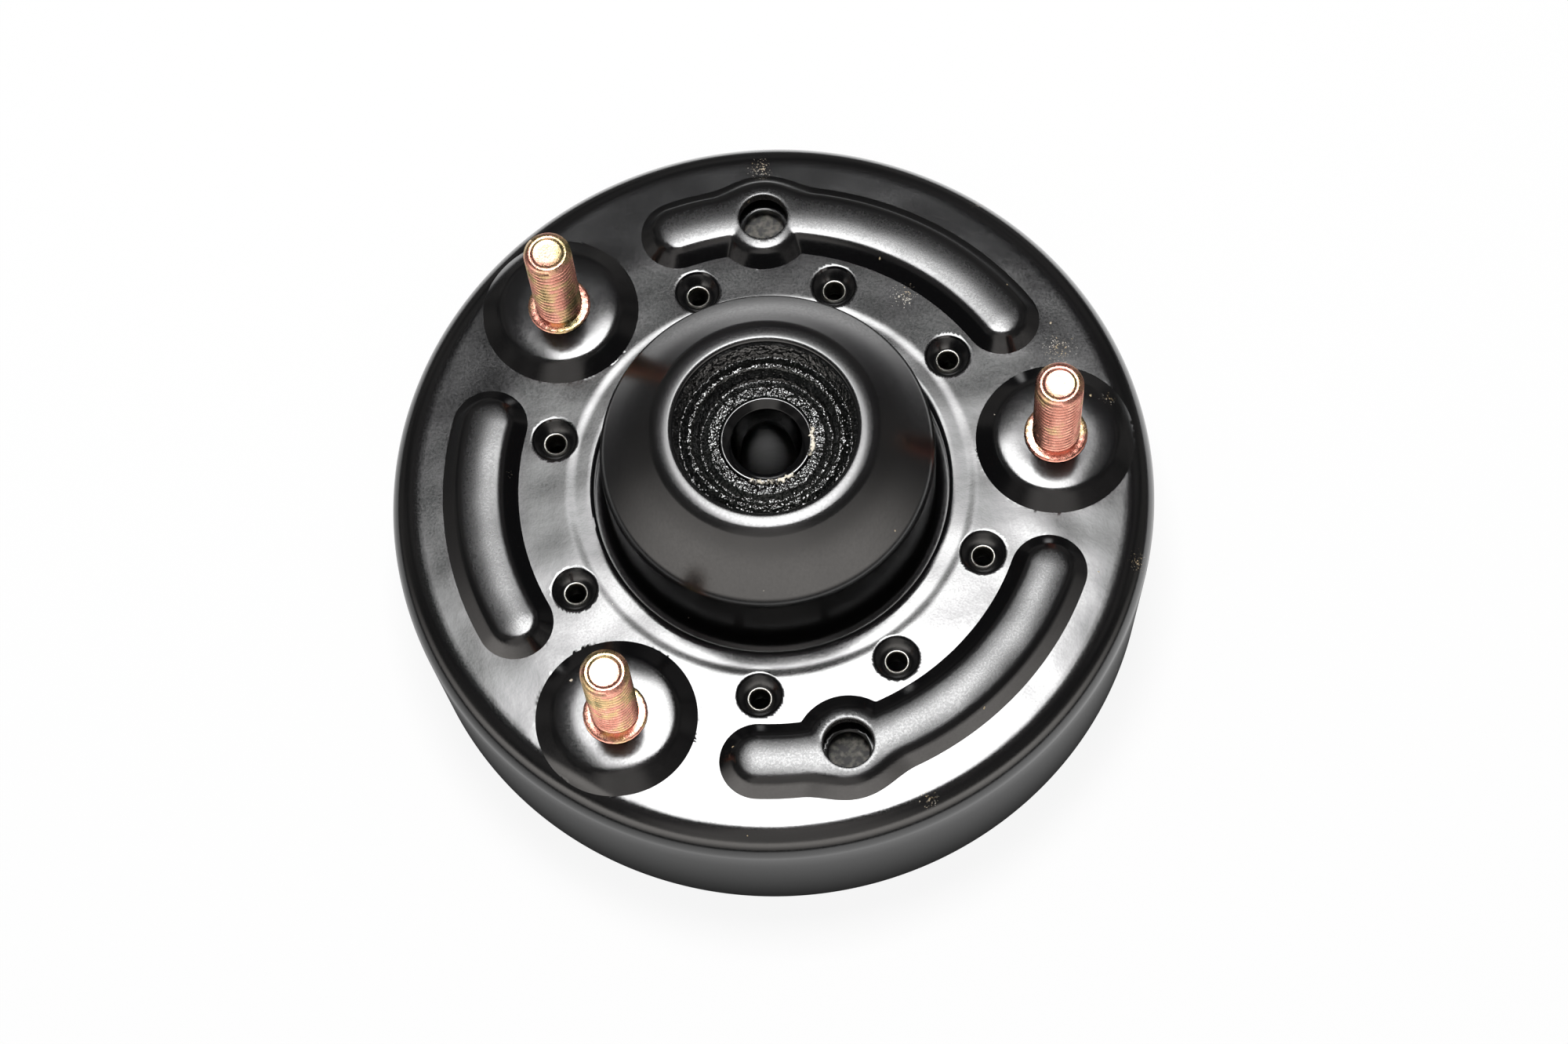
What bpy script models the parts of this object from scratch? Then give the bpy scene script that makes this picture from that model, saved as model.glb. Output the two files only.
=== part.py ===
import math

import bmesh
import bpy
from mathutils import Vector

# Strut mount: pressed pan, riveted bush housing, rubber bush, studs and spring seat.
# Metres, +Z up. The origin is on the axis, in the plane of the pan's rim, where the mount stands.
# +X runs through the stud on the plan's mirror line.

# gaps between neighbouring pieces
FIT_GAP = 0.0003
PRESS_GAP = 0.0003

# widths from the housing's wall outwards to the pan's side
HOUSING_RADIUS = 0.0348
PAN_HOLE_CLEARANCE = 0.0028
RIVET_EDGE_DISTANCE = 0.00975
RIVET_TO_RIB_SPACING = 0.0143
RIVET_TO_STUD_SPACING = 0.0135
RIB_EDGE_DISTANCE = 0.01935
RIM_DRAW = 0.0010

# pressed pan
PAN_HOLE_RADIUS = HOUSING_RADIUS + PAN_HOLE_CLEARANCE
RIVET_PITCH_RADIUS = PAN_HOLE_RADIUS + RIVET_EDGE_DISTANCE
RIB_PITCH_RADIUS = RIVET_PITCH_RADIUS + RIVET_TO_RIB_SPACING
STUD_PITCH_RADIUS = RIVET_PITCH_RADIUS + RIVET_TO_STUD_SPACING
PAN_RADIUS = RIB_PITCH_RADIUS + RIB_EDGE_DISTANCE
PAN_RIM_RADIUS = PAN_RADIUS - RIM_DRAW
PAN_DEPTH = 0.0375
PAN_GAUGE = 0.0025
PAN_ROLL_RADIUS = 0.0067
PAN_HOLE_EDGE_RADIUS = 0.0009
SEAT_STEP_DEPTH = 0.0006
SEAT_STEP_LAND = 0.0029
SEAT_STEP_RUN = 0.0025
SEAT_STEP_INNER_RADIUS = PAN_HOLE_RADIUS + SEAT_STEP_LAND
SEAT_STEP_OUTER_RADIUS = SEAT_STEP_INNER_RADIUS + SEAT_STEP_RUN

# stiffening ribs raised in the pan
RIB_HALF_WIDTH = 0.00805
RIB_HEIGHT = 0.0032
RIB_WALL_ANGLE = math.radians(46)
RIB_EDGE_RADIUS = 0.0030
PLAIN_RIB_HALF_ANGLE = math.radians(21.5)
HOLED_RIB_START = math.radians(28.2)
HOLED_RIB_END = math.radians(100.8)
RIB_HOLE_ANGLE = math.radians(83.2)
RIB_HOLE_INSET = 0.00075
RIB_HOLE_PITCH_RADIUS = RIB_PITCH_RADIUS - RIB_HOLE_INSET
RIB_HOLE_RADIUS = 0.0052
RIB_PAD_RADIUS = 0.0112
BRIM_HOLE_RADIUS = 0.0045

# studs and the bosses they stand on
STUD_ANGLE = math.radians(130)
BOSS_RADIUS = 0.01683
BOSS_HEIGHT = 0.0030
BOSS_WALL_ANGLE = math.radians(34)
BOSS_EDGE_RADIUS = 0.0030
STUD_RADIUS = 0.0050
STUD_LENGTH = 0.0265
STUD_END_CHAMFER = 0.0009
STUD_RECESS_RADIUS = 0.0032
STUD_RECESS_DEPTH = 0.0005
STUD_GROOVE_RADIUS = 0.0043
STUD_GROOVE_WIDTH = 0.0011
STUD_COLLAR_RADIUS = 0.0067
STUD_COLLAR_HEIGHT = 0.0010
STUD_SHANK_RADIUS = 0.0056
STUD_HEAD_RADIUS = 0.0082
STUD_HEAD_THICKNESS = 0.0025

# countersunk hollow rivets
RIVET_ANGLES = [math.radians(angle) for angle in (28.7, 65.0, 101.3, 158.7)]
RIVET_TUBE_RADIUS = 0.00255
RIVET_BORE_RADIUS = 0.00210
RIVET_FLARE_WALL = 0.00040
RIVET_HEAD_RADIUS = 0.0046
RIVET_HEAD_THICKNESS = 0.0010
COUNTERSINK_RADIUS = 0.00471

# drawn housing of the bush
HOUSING_GAUGE = 0.0022
HOUSING_HEIGHT = 0.0310
HOUSING_MOUTH_RADIUS = 0.0188
HOUSING_CROWN_RADIUS = 0.0217
HOUSING_CROWN_ROLL = 0.0040
HOUSING_CONE_ANGLE = math.radians(44.5)
HOUSING_SHOULDER_ROLL = 0.0045
BRIM_ROLL_CLEARANCE = 0.0048
HOUSING_BRIM_RADIUS = PAN_RADIUS - PAN_ROLL_RADIUS - BRIM_ROLL_CLEARANCE
HOUSING_BRIM_BEND = 0.0025

# retainer plate below the bush
RETAINER_GAUGE = 0.0018
RETAINER_EDGE_DISTANCE = 0.00505
RETAINER_BEND_DISTANCE = 0.00585
RETAINER_CUP_INSET = 0.0003
RETAINER_RADIUS = RIVET_PITCH_RADIUS + RETAINER_EDGE_DISTANCE
RETAINER_BEND_RADIUS = RIVET_PITCH_RADIUS - RETAINER_BEND_DISTANCE
RETAINER_CUP_RADIUS = HOUSING_RADIUS - RETAINER_CUP_INSET
RETAINER_CUP_DEPTH = 0.0065
RETAINER_HOLE_RADIUS = 0.0200

# rubber bush and its steel sleeve
SLEEVE_BORE_RADIUS = 0.0073
SLEEVE_RADIUS = 0.0095
SLEEVE_TOP = 0.0237
SLEEVE_CHAMFER = 0.0004
SLEEVE_FLANGE_RADIUS = 0.0150
SLEEVE_FLANGE_THICKNESS = 0.0030
BUSH_COLLAR_RADIUS = 0.0120
BUSH_GROOVE_RADIUS = 0.0138
BUSH_GROOVE_DEPTH = 0.0012
BUSH_RIDGE_RADIUS = 0.0156
BUSH_RIDGE_HALF_WIDTH = 0.0005
BUSH_RIDGE_HEIGHT = 0.0022
BUSH_VALLEY_RADIUS = 0.0178
BUSH_VALLEY_HEIGHT = 0.0011
BUSH_SHOULDER_RADIUS = 0.0205
BUSH_SKIRT_ROUND = 0.0030

# rubber spring seat under the pan
SEAT_RIM_CLEARANCE = 0.0001
SEAT_RETAINER_CLEARANCE = 0.0026
SEAT_INNER_RADIUS = RETAINER_RADIUS + SEAT_RETAINER_CLEARANCE
SEAT_OUTER_RADIUS = PAN_RIM_RADIUS - PAN_GAUGE - SEAT_RIM_CLEARANCE
SEAT_THICKNESS = 0.0085
SEAT_LIP_DEPTH = 0.0150
SEAT_LIP_WIDTH = 0.0034
SEAT_LAND_WIDTH = 0.0110
SEAT_GROOVE_PITCH_RADIUS = SEAT_INNER_RADIUS + SEAT_LAND_WIDTH
SEAT_GROOVE_RADIUS = 0.0065
SEAT_GROOVE_DEPTH = 0.0040

# levels, measured from the rim plane
PLATEAU = PAN_DEPTH
PAN_UNDERSIDE = PLATEAU - PAN_GAUGE
BRIM_TOP = PAN_UNDERSIDE - FIT_GAP
BRIM_UNDERSIDE = BRIM_TOP - HOUSING_GAUGE
RETAINER_TOP = BRIM_UNDERSIDE - FIT_GAP
RETAINER_UNDERSIDE = RETAINER_TOP - RETAINER_GAUGE
RETAINER_CUP_FLOOR = RETAINER_TOP - RETAINER_CUP_DEPTH
BUSH_BOTTOM = RETAINER_CUP_FLOOR + FIT_GAP
SLEEVE_FLANGE_TOP = BUSH_BOTTOM - FIT_GAP

# how far a cutter or an added form reaches past the face it works on
OVERRUN = 0.0012
MERGE = 0.00001
PAN_TURN_STEPS = 56
HOUSING_TURN_STEPS = 42
BUSH_TURN_STEPS = 34
SLEEVE_TURN_STEPS = 26
STUD_TURN_STEPS = 18
RIVET_TURN_STEPS = 14
BOSS_STEPS = 28
PAD_STEPS = 22
HOLE_STEPS = 16

GLOSS_BLACK = ("gloss_black_paint", (0.010, 0.010, 0.011), 0.12, 0.0)
BLACK_STEEL = ("black_coated_steel", (0.014, 0.014, 0.015), 0.30, 0.0)
BLACK_RUBBER = ("black_rubber", (0.018, 0.018, 0.018), 0.60, 0.0)
YELLOW_ZINC = ("yellow_zinc_plate", (0.62, 0.47, 0.26), 0.28, 1.0)


def clear_scene():
    for item in list(bpy.data.objects):
        bpy.data.objects.remove(item, do_unlink=True)
    for group in list(bpy.data.collections):
        bpy.data.collections.remove(group)


def new_collection(name):
    group = bpy.data.collections.new(name)
    bpy.context.scene.collection.children.link(group)
    return group


def material(finish):
    name, colour, roughness, metallic = finish
    result = bpy.data.materials.get(name)
    if result is None:
        result = bpy.data.materials.new(name)
        result.use_nodes = True
        shader = result.node_tree.nodes["Principled BSDF"]
        shader.inputs["Base Color"].default_value = (*colour, 1.0)
        shader.inputs["Roughness"].default_value = roughness
        shader.inputs["Metallic"].default_value = metallic
        result.diffuse_color = (*colour, 1.0)
    return result


def add_object(name, mesh, group, finish=None):
    item = bpy.data.objects.new(name, mesh)
    group.objects.link(item)
    if finish is None:
        item.hide_render = True
        item.display_type = "WIRE"
    elif not mesh.materials:
        mesh.materials.append(material(finish))
    return item


def arc(centre, radius, start, end, steps):
    """Points of an arc in the profile plane; angles run from +Z towards +X."""
    angles = [start + (end - start) * step / steps for step in range(steps + 1)]
    return [(centre[0] + radius * math.sin(a), centre[1] + radius * math.cos(a)) for a in angles]


def turned(name, profile, group, finish, steps, closed=True):
    """A turned piece: the profile goes down its outer side and back up its inner one."""
    mesh = bpy.data.meshes.new(name)
    shape = bmesh.new()
    points = [shape.verts.new((x, 0.0, z)) for x, z in profile]
    for first, second in zip(points, points[1:]):
        shape.edges.new((first, second))
    if closed:
        shape.edges.new((points[-1], points[0]))
    shape.to_mesh(mesh)
    shape.free()
    item = add_object(name, mesh, group, finish)
    screw = item.modifiers.new("turn", "SCREW")
    screw.axis = "Z"
    screw.angle = math.tau
    screw.steps = steps
    screw.render_steps = steps
    screw.use_merge_vertices = True
    screw.merge_threshold = MERGE
    screw.use_smooth_shade = True
    return item


def polar(radius, angle, height=0.0):
    return Vector((radius * math.cos(angle), radius * math.sin(angle), height))


def disc_stations(centre, count):
    """Centre and outward direction at each corner of a round plan."""
    angles = [math.tau * step / count for step in range(count)]
    return [(centre, polar(1.0, angle)) for angle in angles]


def slot_stations(radius, start, end, side_steps, end_steps):
    """Centre and outward direction round a curved slot with half-round ends."""
    sweep = [start + (end - start) * step / side_steps for step in range(side_steps + 1)]
    outer = [(polar(radius, a), polar(1.0, a)) for a in sweep]
    inner = [(polar(radius, a), -polar(1.0, a)) for a in reversed(sweep)]
    turn = [math.pi * step / end_steps for step in range(1, end_steps)]
    far = [(polar(radius, end), polar(1.0, end + a)) for a in turn]
    near = [(polar(radius, start), polar(1.0, start + math.pi + a)) for a in turn]
    return outer + far + inner + near


def shoulder(half_width, foot, top, wall_angle, edge_radius, steps):
    """Half-width and height up a pressed wall: sloped from its foot, rounded to its flat top."""
    centre_height = top - edge_radius
    centre = half_width - (centre_height - foot) / math.tan(wall_angle) - edge_radius / math.sin(wall_angle)
    return [(half_width, foot)] + arc((centre, centre_height), edge_radius, wall_angle, 0.0, steps)


def loft(name, stations, levels, group):
    """A closed form whose outline shrinks or grows from level to level, lowest first."""
    shape = bmesh.new()
    rings = []
    for half_width, height in levels:
        lift = Vector((0.0, 0.0, height))
        rings.append([shape.verts.new(centre + side * half_width + lift) for centre, side in stations])
    count = len(stations)
    for low, high in zip(rings, rings[1:]):
        for step in range(count):
            after = (step + 1) % count
            shape.faces.new((low[step], low[after], high[after], high[step]))
    shape.faces.new(list(reversed(rings[0])))
    shape.faces.new(rings[-1])
    mesh = bpy.data.meshes.new(name)
    shape.to_mesh(mesh)
    shape.free()
    return add_object(name, mesh, group)


def combine(item, operation, tools):
    for tool in tools:
        cut = item.modifiers.new(tool.name, "BOOLEAN")
        cut.operation = operation
        cut.object = tool


def skin_pair(name, stations, pressing, cutters):
    """The raised outer form of a pressing and the pocket under it, one gauge apart."""
    half_width, height, wall_angle, edge_radius = pressing
    top = PLATEAU + height
    outer = shoulder(half_width, PLATEAU, top, wall_angle, edge_radius, 3)
    raised = loft(name + "_raised", stations, [(half_width, PLATEAU - OVERRUN)] + outer, cutters)
    inner_half_width = half_width - PAN_GAUGE * math.tan(wall_angle / 2)
    inner_edge = max(edge_radius - PAN_GAUGE, MERGE)
    inner = shoulder(inner_half_width, PAN_UNDERSIDE, top - PAN_GAUGE, wall_angle, inner_edge, 1)
    pocket = loft(name + "_pocket", stations, [(inner_half_width, PAN_UNDERSIDE - OVERRUN)] + inner, cutters)
    return raised, pocket


def pan_profile():
    roll_centre = (PAN_RADIUS - PAN_ROLL_RADIUS, PLATEAU - PAN_ROLL_RADIUS)
    seat = PLATEAU - SEAT_STEP_DEPTH
    edge_centre = (PAN_HOLE_RADIUS + PAN_HOLE_EDGE_RADIUS, seat - PAN_HOLE_EDGE_RADIUS)
    outer = arc(edge_centre, PAN_HOLE_EDGE_RADIUS, -math.pi / 2, 0.0, 2)
    outer += [(SEAT_STEP_INNER_RADIUS, seat), (SEAT_STEP_OUTER_RADIUS, PLATEAU)]
    outer += arc(roll_centre, PAN_ROLL_RADIUS, 0.0, math.pi / 2, 5)
    outer += [(PAN_RIM_RADIUS, 0.0)]
    inner = [(PAN_RIM_RADIUS - PAN_GAUGE, 0.0)]
    inner += arc(roll_centre, PAN_ROLL_RADIUS - PAN_GAUGE, math.pi / 2, 0.0, 3)
    inner += [(PAN_HOLE_RADIUS, PAN_UNDERSIDE)]
    return outer + inner


def rib_hole_places():
    return [polar(RIB_HOLE_PITCH_RADIUS, side * RIB_HOLE_ANGLE) for side in (1, -1)]


def rib_forms(cutters):
    """Three ribs on the pitch circle; two of them carry a round pad for a locating hole."""
    rib = (RIB_HALF_WIDTH, RIB_HEIGHT, RIB_WALL_ANGLE, RIB_EDGE_RADIUS)
    pad = (RIB_PAD_RADIUS, RIB_HEIGHT, RIB_WALL_ANGLE, RIB_EDGE_RADIUS)
    spans = [("plain_rib", math.pi - PLAIN_RIB_HALF_ANGLE, math.pi + PLAIN_RIB_HALF_ANGLE, 9)]
    spans += [("left_rib", HOLED_RIB_START, HOLED_RIB_END, 13)]
    spans += [("right_rib", -HOLED_RIB_END, -HOLED_RIB_START, 13)]
    pairs = []
    for name, start, end, steps in spans:
        stations = slot_stations(RIB_PITCH_RADIUS, start, end, steps, 7)
        pairs.append(skin_pair(name, stations, rib, cutters))
    for number, place in enumerate(rib_hole_places(), 1):
        stations = disc_stations(place, PAD_STEPS)
        name = "rib_pad_%d" % number
        pairs.append(skin_pair(name, stations, pad, cutters))
    return pairs


def stud_places():
    return [polar(STUD_PITCH_RADIUS, angle) for angle in (0.0, STUD_ANGLE, -STUD_ANGLE)]


def boss_forms(cutters):
    boss = (BOSS_RADIUS, BOSS_HEIGHT, BOSS_WALL_ANGLE, BOSS_EDGE_RADIUS)
    pairs = []
    for number, place in enumerate(stud_places(), 1):
        stations = disc_stations(place, BOSS_STEPS)
        name = "boss_%d" % number
        pairs.append(skin_pair(name, stations, boss, cutters))
    return pairs


def rivet_places():
    return [polar(RIVET_PITCH_RADIUS, side * angle) for angle in RIVET_ANGLES for side in (1, -1)]


def countersink_slope():
    """Radius lost for each metre of depth from the plateau to the foot of the countersink."""
    return (COUNTERSINK_RADIUS - RIVET_TUBE_RADIUS - FIT_GAP) / PAN_GAUGE


def drill(name, place, radius, low, high, count, cutters):
    return loft(name, disc_stations(place, count), [(radius, low), (radius, high)], cutters)


def countersink(name, place, cutters):
    slope = countersink_slope()
    foot = RIVET_TUBE_RADIUS + FIT_GAP
    levels = [(foot, PAN_UNDERSIDE - OVERRUN), (foot, PAN_UNDERSIDE), (COUNTERSINK_RADIUS, PLATEAU)]
    levels.append((COUNTERSINK_RADIUS + slope * OVERRUN, PLATEAU + OVERRUN))
    return loft(name, disc_stations(place, RIVET_TURN_STEPS), levels, cutters)


def make_pan(parts, cutters):
    pan = turned("top_plate", pan_profile(), parts, GLOSS_BLACK, PAN_TURN_STEPS)
    pairs = rib_forms(cutters) + boss_forms(cutters)
    combine(pan, "UNION", [raised for raised, pocket in pairs])
    combine(pan, "DIFFERENCE", [pocket for raised, pocket in pairs])
    holes = []
    low = PAN_UNDERSIDE - OVERRUN
    for number, place in enumerate(rib_hole_places(), 1):
        top = PLATEAU + RIB_HEIGHT + OVERRUN
        holes.append(drill("rib_hole_%d" % number, place, RIB_HOLE_RADIUS, low, top, HOLE_STEPS, cutters))
    for number, place in enumerate(stud_places(), 1):
        top = PLATEAU + BOSS_HEIGHT + OVERRUN
        bore = STUD_SHANK_RADIUS + PRESS_GAP
        holes.append(drill("stud_hole_%d" % number, place, bore, low, top, STUD_TURN_STEPS, cutters))
    for number, place in enumerate(rivet_places(), 1):
        holes.append(countersink("countersink_%d" % number, place, cutters))
    combine(pan, "DIFFERENCE", holes)
    return pan


def housing_skin(offset):
    """The housing's outer skin from its mouth to its wall's foot, moved inwards by an offset."""
    crown = (HOUSING_CROWN_RADIUS, PLATEAU + HOUSING_HEIGHT - HOUSING_CROWN_ROLL)
    shoulder_radius = HOUSING_RADIUS - HOUSING_SHOULDER_ROLL
    lean = HOUSING_CONE_ANGLE
    run = shoulder_radius - crown[0] + (HOUSING_SHOULDER_ROLL - HOUSING_CROWN_ROLL) * math.sin(lean)
    drop = run * math.tan(lean) + (HOUSING_SHOULDER_ROLL - HOUSING_CROWN_ROLL) * math.cos(lean)
    shoulder_centre = (shoulder_radius, crown[1] - drop)
    upper = arc(crown, HOUSING_CROWN_ROLL - offset, 0.0, lean, 3)
    lower = arc(shoulder_centre, HOUSING_SHOULDER_ROLL - offset, lean, math.pi / 2, 2)
    return upper + lower


def make_housing(parts, cutters):
    bend_centre = (HOUSING_RADIUS + HOUSING_BRIM_BEND, BRIM_TOP + HOUSING_BRIM_BEND)
    outer = [(HOUSING_MOUTH_RADIUS, PLATEAU + HOUSING_HEIGHT)] + housing_skin(0.0)
    outer += arc(bend_centre, HOUSING_BRIM_BEND, -math.pi / 2, -math.pi, 3)
    outer += [(HOUSING_BRIM_RADIUS, BRIM_TOP), (HOUSING_BRIM_RADIUS, BRIM_UNDERSIDE)]
    inner = arc(bend_centre, HOUSING_BRIM_BEND + HOUSING_GAUGE, -math.pi, -math.pi / 2, 3)
    inner += list(reversed(housing_skin(HOUSING_GAUGE)))
    inner += [(HOUSING_MOUTH_RADIUS, PLATEAU + HOUSING_HEIGHT - HOUSING_GAUGE)]
    housing = turned("bush_housing", outer + inner, parts, GLOSS_BLACK, HOUSING_TURN_STEPS)
    low = BRIM_UNDERSIDE - OVERRUN
    high = BRIM_TOP + OVERRUN
    holes = []
    for number, place in enumerate(rib_hole_places(), 1):
        holes.append(drill("brim_hole_%d" % number, place, BRIM_HOLE_RADIUS, low, high, HOLE_STEPS, cutters))
    bore = RIVET_TUBE_RADIUS + FIT_GAP
    for number, place in enumerate(rivet_places(), 1):
        holes.append(drill("brim_bore_%d" % number, place, bore, low, high, RIVET_TURN_STEPS, cutters))
    combine(housing, "DIFFERENCE", holes)
    return housing


def make_retainer(parts, cutters):
    floor = RETAINER_CUP_FLOOR
    outer = [(RETAINER_HOLE_RADIUS, floor), (RETAINER_CUP_RADIUS, floor)]
    outer += [(RETAINER_BEND_RADIUS, RETAINER_TOP), (RETAINER_RADIUS, RETAINER_TOP)]
    outer += [(RETAINER_RADIUS, RETAINER_UNDERSIDE)]
    lean = math.atan2(RETAINER_CUP_DEPTH, RETAINER_BEND_RADIUS - RETAINER_CUP_RADIUS)
    shift = RETAINER_GAUGE * math.tan(lean / 2)
    underside = floor - RETAINER_GAUGE
    inner = [(RETAINER_BEND_RADIUS + shift, RETAINER_UNDERSIDE)]
    inner += [(RETAINER_CUP_RADIUS + shift, underside), (RETAINER_HOLE_RADIUS, underside)]
    retainer = turned("retainer_plate", outer + inner, parts, BLACK_STEEL, BUSH_TURN_STEPS)
    bore = RIVET_TUBE_RADIUS + FIT_GAP
    low = RETAINER_UNDERSIDE - OVERRUN
    high = RETAINER_TOP + OVERRUN
    holes = []
    for number, place in enumerate(rivet_places(), 1):
        holes.append(drill("retainer_bore_%d" % number, place, bore, low, high, RIVET_TURN_STEPS, cutters))
    combine(retainer, "DIFFERENCE", holes)
    return retainer


def make_rivets(parts):
    """Hollow rivets: flared into the countersinks, headed under the retainer plate."""
    flare_drop = 0.5 * FIT_GAP
    flare_radius = COUNTERSINK_RADIUS - countersink_slope() * flare_drop - FIT_GAP
    head_top = RETAINER_UNDERSIDE - FIT_GAP
    head_bottom = head_top - RIVET_HEAD_THICKNESS
    bore_top = PAN_UNDERSIDE - RIVET_FLARE_WALL
    profile = [(flare_radius - RIVET_FLARE_WALL, PLATEAU - flare_drop), (flare_radius, PLATEAU - flare_drop)]
    profile += [(RIVET_TUBE_RADIUS, PAN_UNDERSIDE), (RIVET_TUBE_RADIUS, head_top)]
    profile += [(RIVET_HEAD_RADIUS, head_top), (RIVET_HEAD_RADIUS, head_bottom)]
    profile += [(RIVET_BORE_RADIUS, head_bottom), (RIVET_BORE_RADIUS, bore_top)]
    rivets = []
    for number, place in enumerate(rivet_places(), 1):
        rivet = turned("rivet_%d" % number, profile, parts, GLOSS_BLACK, RIVET_TURN_STEPS)
        rivet.location = place
        rivets.append(rivet)
    return rivets


def make_studs(parts):
    """Splined studs: head in the boss's pocket, collar swaged over the sheet, thread above."""
    boss_top = PLATEAU + BOSS_HEIGHT
    head_top = boss_top - PAN_GAUGE - FIT_GAP
    head_bottom = head_top - STUD_HEAD_THICKNESS
    collar_bottom = boss_top + FIT_GAP
    collar_top = boss_top + STUD_COLLAR_HEIGHT
    groove_top = collar_top + STUD_GROOVE_WIDTH
    end = boss_top + STUD_LENGTH
    end_radius = STUD_RADIUS - STUD_END_CHAMFER
    thread_foot = groove_top + STUD_RADIUS - STUD_GROOVE_RADIUS
    collar_edge = STUD_COLLAR_RADIUS - 0.5 * STUD_COLLAR_HEIGHT
    profile = [(0.0, end - STUD_RECESS_DEPTH), (STUD_RECESS_RADIUS, end - STUD_RECESS_DEPTH)]
    profile += [(STUD_RECESS_RADIUS, end), (end_radius, end), (STUD_RADIUS, end - STUD_END_CHAMFER)]
    profile += [(STUD_RADIUS, thread_foot), (STUD_GROOVE_RADIUS, groove_top)]
    profile += [(STUD_GROOVE_RADIUS, collar_top), (collar_edge, collar_top)]
    profile += [(STUD_COLLAR_RADIUS, 0.5 * (collar_top + collar_bottom))]
    profile += [(STUD_COLLAR_RADIUS, collar_bottom), (STUD_SHANK_RADIUS, collar_bottom)]
    profile += [(STUD_SHANK_RADIUS, head_top), (STUD_HEAD_RADIUS, head_top)]
    profile += [(STUD_HEAD_RADIUS, head_bottom), (0.0, head_bottom)]
    studs = []
    for number, place in enumerate(stud_places(), 1):
        stud = turned("stud_%d" % number, profile, parts, YELLOW_ZINC, STUD_TURN_STEPS, closed=False)
        stud.location = place
        studs.append(stud)
    return studs


def make_sleeve(parts):
    top = PLATEAU + SLEEVE_TOP
    flange_bottom = SLEEVE_FLANGE_TOP - SLEEVE_FLANGE_THICKNESS
    profile = [(SLEEVE_BORE_RADIUS + SLEEVE_CHAMFER, top), (SLEEVE_RADIUS - SLEEVE_CHAMFER, top)]
    profile += [(SLEEVE_RADIUS, top - SLEEVE_CHAMFER), (SLEEVE_RADIUS, SLEEVE_FLANGE_TOP)]
    profile += [(SLEEVE_FLANGE_RADIUS, SLEEVE_FLANGE_TOP), (SLEEVE_FLANGE_RADIUS, flange_bottom)]
    profile += [(SLEEVE_BORE_RADIUS, flange_bottom), (SLEEVE_BORE_RADIUS, top - SLEEVE_CHAMFER)]
    return turned("inner_sleeve", profile, parts, BLACK_STEEL, SLEEVE_TURN_STEPS)


def make_bush(parts):
    """Moulded rubber that fills the housing round the sleeve, with ridges on its open face."""
    inner_radius = SLEEVE_RADIUS + FIT_GAP
    sleeve_top = PLATEAU + SLEEVE_TOP
    mouth_underside = PLATEAU + HOUSING_HEIGHT - HOUSING_GAUGE - FIT_GAP
    collar = sleeve_top - SLEEVE_CHAMFER
    groove = collar - BUSH_GROOVE_DEPTH
    ridge = sleeve_top + BUSH_RIDGE_HEIGHT
    wall = housing_skin(HOUSING_GAUGE + FIT_GAP)
    profile = [(inner_radius, collar), (BUSH_COLLAR_RADIUS, collar), (BUSH_GROOVE_RADIUS, groove)]
    profile += [(BUSH_RIDGE_RADIUS - BUSH_RIDGE_HALF_WIDTH, ridge)]
    profile += [(BUSH_RIDGE_RADIUS + BUSH_RIDGE_HALF_WIDTH, ridge)]
    profile += [(BUSH_VALLEY_RADIUS, sleeve_top + BUSH_VALLEY_HEIGHT)]
    profile += [(BUSH_SHOULDER_RADIUS, mouth_underside)] + wall[1:]
    bottom_centre = (wall[-1][0] - BUSH_SKIRT_ROUND, BUSH_BOTTOM + BUSH_SKIRT_ROUND)
    profile += arc(bottom_centre, BUSH_SKIRT_ROUND, math.pi / 2, math.pi, 3)
    profile += [(inner_radius, BUSH_BOTTOM)]
    return turned("rubber_bush", profile, parts, BLACK_RUBBER, BUSH_TURN_STEPS)


def make_spring_seat(parts):
    """Rubber ring between the pan and the coil spring, with a channel for the end coil."""
    top = BRIM_UNDERSIDE - FIT_GAP
    face = top - SEAT_THICKNESS
    lip_bottom = top - SEAT_LIP_DEPTH
    roll_edge = PAN_RADIUS - PAN_ROLL_RADIUS
    reach = math.acos(1.0 - SEAT_GROOVE_DEPTH / SEAT_GROOVE_RADIUS)
    channel_centre = (SEAT_GROOVE_PITCH_RADIUS, face + SEAT_GROOVE_DEPTH - SEAT_GROOVE_RADIUS)
    lip_inner = SEAT_OUTER_RADIUS - SEAT_LIP_WIDTH
    bevel = SEAT_OUTER_RADIUS - roll_edge
    profile = [(SEAT_INNER_RADIUS, top), (roll_edge, top), (SEAT_OUTER_RADIUS, top - bevel)]
    profile += [(SEAT_OUTER_RADIUS, lip_bottom), (lip_inner, lip_bottom)]
    profile += arc(channel_centre, SEAT_GROOVE_RADIUS, reach, -reach, 6)
    profile += [(SEAT_INNER_RADIUS, face)]
    return turned("spring_seat", profile, parts, BLACK_RUBBER, HOUSING_TURN_STEPS)


def main():
    clear_scene()
    parts = new_collection("strut_mount")
    cutters = new_collection("cutters")
    make_pan(parts, cutters)
    make_housing(parts, cutters)
    make_retainer(parts, cutters)
    make_rivets(parts)
    make_studs(parts)
    make_sleeve(parts)
    make_bush(parts)
    make_spring_seat(parts)


main()
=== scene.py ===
# Dresses the strut mount: pressed black pan, riveted housing, rubber bush and zinc plated studs.
import math

import bmesh
import bpy
from mathutils import Matrix, Vector, noise


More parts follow.
